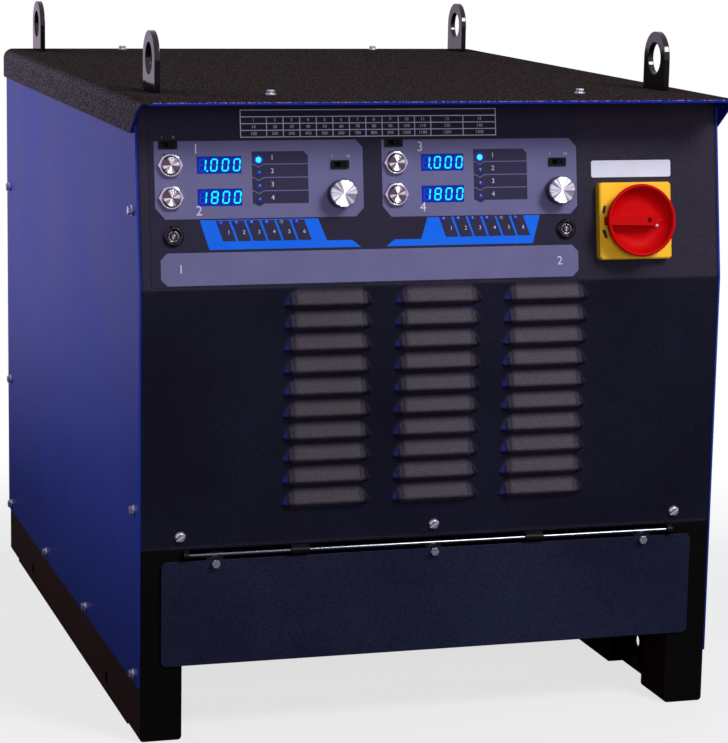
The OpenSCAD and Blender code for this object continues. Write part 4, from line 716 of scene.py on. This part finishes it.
# the rod is bright drawn steel, the tabs welded to it are painted over with the flap
ROD_AXIS, ROD_R = (0.0, -0.415, 0.1986), 0.0022
rod_finish, tree = new_material("bright_rod_painted_tabs")
place = add_node(tree, "ShaderNodeTexCoord").outputs["Object"]
flat = add_node(tree, "ShaderNodeVectorMath", {"operation": "MULTIPLY", 1: (0.0, 1.0, 1.0)}, {0: place})
away = add_node(tree, "ShaderNodeVectorMath", {"operation": "DISTANCE", 1: ROD_AXIS},
                {0: flat.outputs["Vector"]})
tab = add_node(tree, "ShaderNodeMath", {"operation": "GREATER_THAN", 1: ROD_R}, {0: away.outputs["Value"]})
drawn = add_node(tree, "ShaderNodeTexNoise", {"Scale": 1000 / 0.8, "Detail": 2.0},
                 {"Vector": flat.outputs["Vector"]})
steel_tone = add_node(tree, "ShaderNodeMix",
                      {"data_type": "RGBA", 6: linear("#5e606a"), 7: linear("#8a8c98")},
                      {0: drawn.outputs["Fac"]})
steel = add_node(tree, "ShaderNodeBsdfPrincipled", {"Metallic": 1.0, "Roughness": 0.12},
                 {"Base Color": steel_tone.outputs[2]})
painted = add_node(tree, "ShaderNodeBsdfPrincipled",
                   {"Base Color": linear("#15161f"), "Roughness": 0.5, "Specular IOR Level": 0.25})
both = add_node(tree, "ShaderNodeMixShader", {},
                {0: tab.outputs["Value"], 1: steel.outputs["BSDF"], 2: painted.outputs["BSDF"]})
add_node(tree, "ShaderNodeOutputMaterial", {}, {"Surface": both.outputs["Shader"]})
dress(rod_finish, "hinge_rod")
dress(black_plastic, "hinge_knuckles")

# Studio: pale floor that runs out into white, white backdrop behind the object, and a
# dim room on the lens's side, lit by soft boxes.
bpy.ops.object.select_all(action="DESELECT")
bpy.ops.mesh.primitive_plane_add(size=40, location=(0, 0, 0))
floor = bpy.context.object
floor.name = "studio_floor"
floor_paint, tree = new_material("pale_studio_floor")
place = add_node(tree, "ShaderNodeTexCoord").outputs["Object"]
dust = add_node(tree, "ShaderNodeTexNoise", {"Scale": 3.0, "Detail": 2.0}, {"Vector": place})
tone = add_node(tree, "ShaderNodeMix",
                {"data_type": "RGBA", 6: (0.6, 0.6, 0.6, 1), 7: (0.64, 0.64, 0.64, 1)},
                {0: dust.outputs["Fac"]})
path = add_node(tree, "ShaderNodeLightPath")
bounce = add_node(tree, "ShaderNodeMix", {"data_type": "RGBA", 6: (0.08, 0.08, 0.09, 1)},
                  {0: path.outputs["Is Camera Ray"], 7: tone.outputs[2]})
matt = add_node(tree, "ShaderNodeBsdfDiffuse", {}, {"Color": bounce.outputs[2]})
hue = add_node(tree, "ShaderNodeMix", {"data_type": "RGBA", 6: (1, 1, 1, 1), 7: linear("#f3dffa")},
               {0: path.outputs["Is Glossy Ray"]})
glow = add_node(tree, "ShaderNodeEmission", {"Strength": 1.0}, {"Color": hue.outputs[2]})
seen = add_node(tree, "ShaderNodeMath", {"operation": "MAXIMUM"},
                {0: path.outputs["Is Camera Ray"], 1: path.outputs["Is Transmission Ray"]})
out = add_node(tree, "ShaderNodeVectorMath", {"operation": "LENGTH"}, {0: place})
fade = add_node(tree, "ShaderNodeMapRange",
                {"interpolation_type": "SMOOTHSTEP", "From Min": 0.5, "From Max": 1.1,
                 "To Min": 0.72, "To Max": 1.0}, {"Value": out.outputs["Value"]})
direct = add_node(tree, "ShaderNodeMath", {"operation": "MULTIPLY"},
                  {0: seen.outputs["Value"], 1: fade.outputs["Result"]})
# in glossy surfaces the floor brightens away from the object, and most of all behind it
far = add_node(tree, "ShaderNodeMapRange",
               {"From Min": 1.0, "From Max": 3.2, "To Min": 0.0, "To Max": 0.75},
               {"Value": out.outputs["Value"]})
depth = add_node(tree, "ShaderNodeSeparateXYZ", {}, {"Vector": place})
behind = add_node(tree, "ShaderNodeMapRange",
                  {"From Min": -0.6, "From Max": 0.8, "To Min": 0.2, "To Max": 1.0},
                  {"Value": depth.outputs["Y"]})
bright = add_node(tree, "ShaderNodeMath", {"operation": "MULTIPLY"},
                  {0: far.outputs["Result"], 1: behind.outputs["Result"]})
mirrored = add_node(tree, "ShaderNodeMath", {"operation": "MULTIPLY"},
                    {0: path.outputs["Is Glossy Ray"], 1: bright.outputs["Value"]})
share = add_node(tree, "ShaderNodeMath", {"operation": "MAXIMUM"},
                 {0: direct.outputs["Value"], 1: mirrored.outputs["Value"]})
both = add_node(tree, "ShaderNodeMixShader", {},
                {0: share.outputs["Value"], 1: matt.outputs["BSDF"], 2: glow.outputs["Emission"]})
add_node(tree, "ShaderNodeOutputMaterial", {}, {"Surface": both.outputs["Shader"]})
floor.data.materials.append(floor_paint)

scene = bpy.context.scene
world = bpy.data.worlds.new("studio_surroundings")
scene.world = world
world.use_nodes = True
tree = world.node_tree
tree.nodes.clear()
path = add_node(tree, "ShaderNodeLightPath")
heading = add_node(tree, "ShaderNodeSeparateXYZ", {},
                   {"Vector": add_node(tree, "ShaderNodeTexCoord").outputs["Generated"]})
backdrop = add_node(tree, "ShaderNodeMapRange",
                    {"interpolation_type": "SMOOTHSTEP", "From Min": -0.3, "From Max": 0.5,
                     "To Min": 0.75, "To Max": 0.7}, {"Value": heading.outputs["Y"]})
mirrored = add_node(tree, "ShaderNodeMath", {"operation": "MULTIPLY"},
                    {0: path.outputs["Is Glossy Ray"], 1: backdrop.outputs["Result"]})
soft = add_node(tree, "ShaderNodeBackground", {"Color": (0.8, 0.85, 1.0, 1), "Strength": 0.2})
walls = add_node(tree, "ShaderNodeBackground", {"Color": linear("#f8e9fd"), "Strength": 1.0})
room = add_node(tree, "ShaderNodeMixShader", {},
                {0: mirrored.outputs["Value"], 1: soft.outputs["Background"], 2: walls.outputs["Background"]})
direct = add_node(tree, "ShaderNodeMath", {"operation": "MAXIMUM"},
                  {0: path.outputs["Is Camera Ray"], 1: path.outputs["Is Transmission Ray"]})
white = add_node(tree, "ShaderNodeBackground", {"Color": (1, 1, 1, 1), "Strength": 1.0})
both = add_node(tree, "ShaderNodeMixShader", {},
                {0: direct.outputs["Value"], 1: room.outputs["Shader"], 2: white.outputs["Background"]})
add_node(tree, "ShaderNodeOutputWorld", {}, {"Surface": both.outputs["Shader"]})


def softbox(name, place, aim, width, height, watts, mirrored=True, spread=180):
    lamp = bpy.data.lights.new(name, "AREA")
    lamp.shape = "RECTANGLE"
    lamp.size, lamp.size_y, lamp.energy, lamp.spread = width, height, watts, math.radians(spread)
    holder = bpy.data.objects.new(name, lamp)
    scene.collection.objects.link(holder)
    holder.location = place
    holder.rotation_euler = (Vector(aim) - Vector(place)).to_track_quat("-Z", "Y").to_euler()
    holder.visible_glossy = mirrored


softbox("key_softbox", (1.18, -2.23, 2.37), (0, -0.3, 0.4), 0.9, 0.9, 60)
softbox("fill_softbox", (-0.6, -3.7, 1.05), (0, -0.3, 0.45), 1.2, 1.2, 31, False)
softbox("side_softbox", (-2.4, 1.6, 1.9), (-0.33, 0.3, 0.74), 1.0, 1.0, 6.3, False, 54)
softbox("rear_softbox", (1.7, 3.4, 1.5), (0.1, 0.4, 0.4), 1.0, 1.0, 34, False)

# Camera: fitted to the photograph's straight edges, 728 by 743 pixels, with no shift.
focal_px, frame_px = 2620, 743
turn, rise, roll = math.radians(-16.86), math.radians(10.33), math.radians(1.05)
back = Vector((math.sin(turn) * math.cos(rise), -math.cos(turn) * math.cos(rise), math.sin(rise)))
right = Vector((math.cos(turn), math.sin(turn), 0))
up = back.cross(right)
across = right * math.cos(roll) + up * math.sin(roll)
upright = up * math.cos(roll) - right * math.sin(roll)
lens = bpy.data.cameras.new("studio_camera")
lens.sensor_width = 36
lens.lens = focal_px * lens.sensor_width / frame_px
camera = bpy.data.objects.new("studio_camera", lens)
scene.collection.objects.link(camera)
stand = Vector((-0.86106, -2.98736, 0.87615))
camera.matrix_world = Matrix.Translation(stand) @ Matrix((across, upright, back)).transposed().to_4x4()
scene.camera = camera

scene.view_settings.view_transform = "Standard"
bpy.context.view_layer.update()
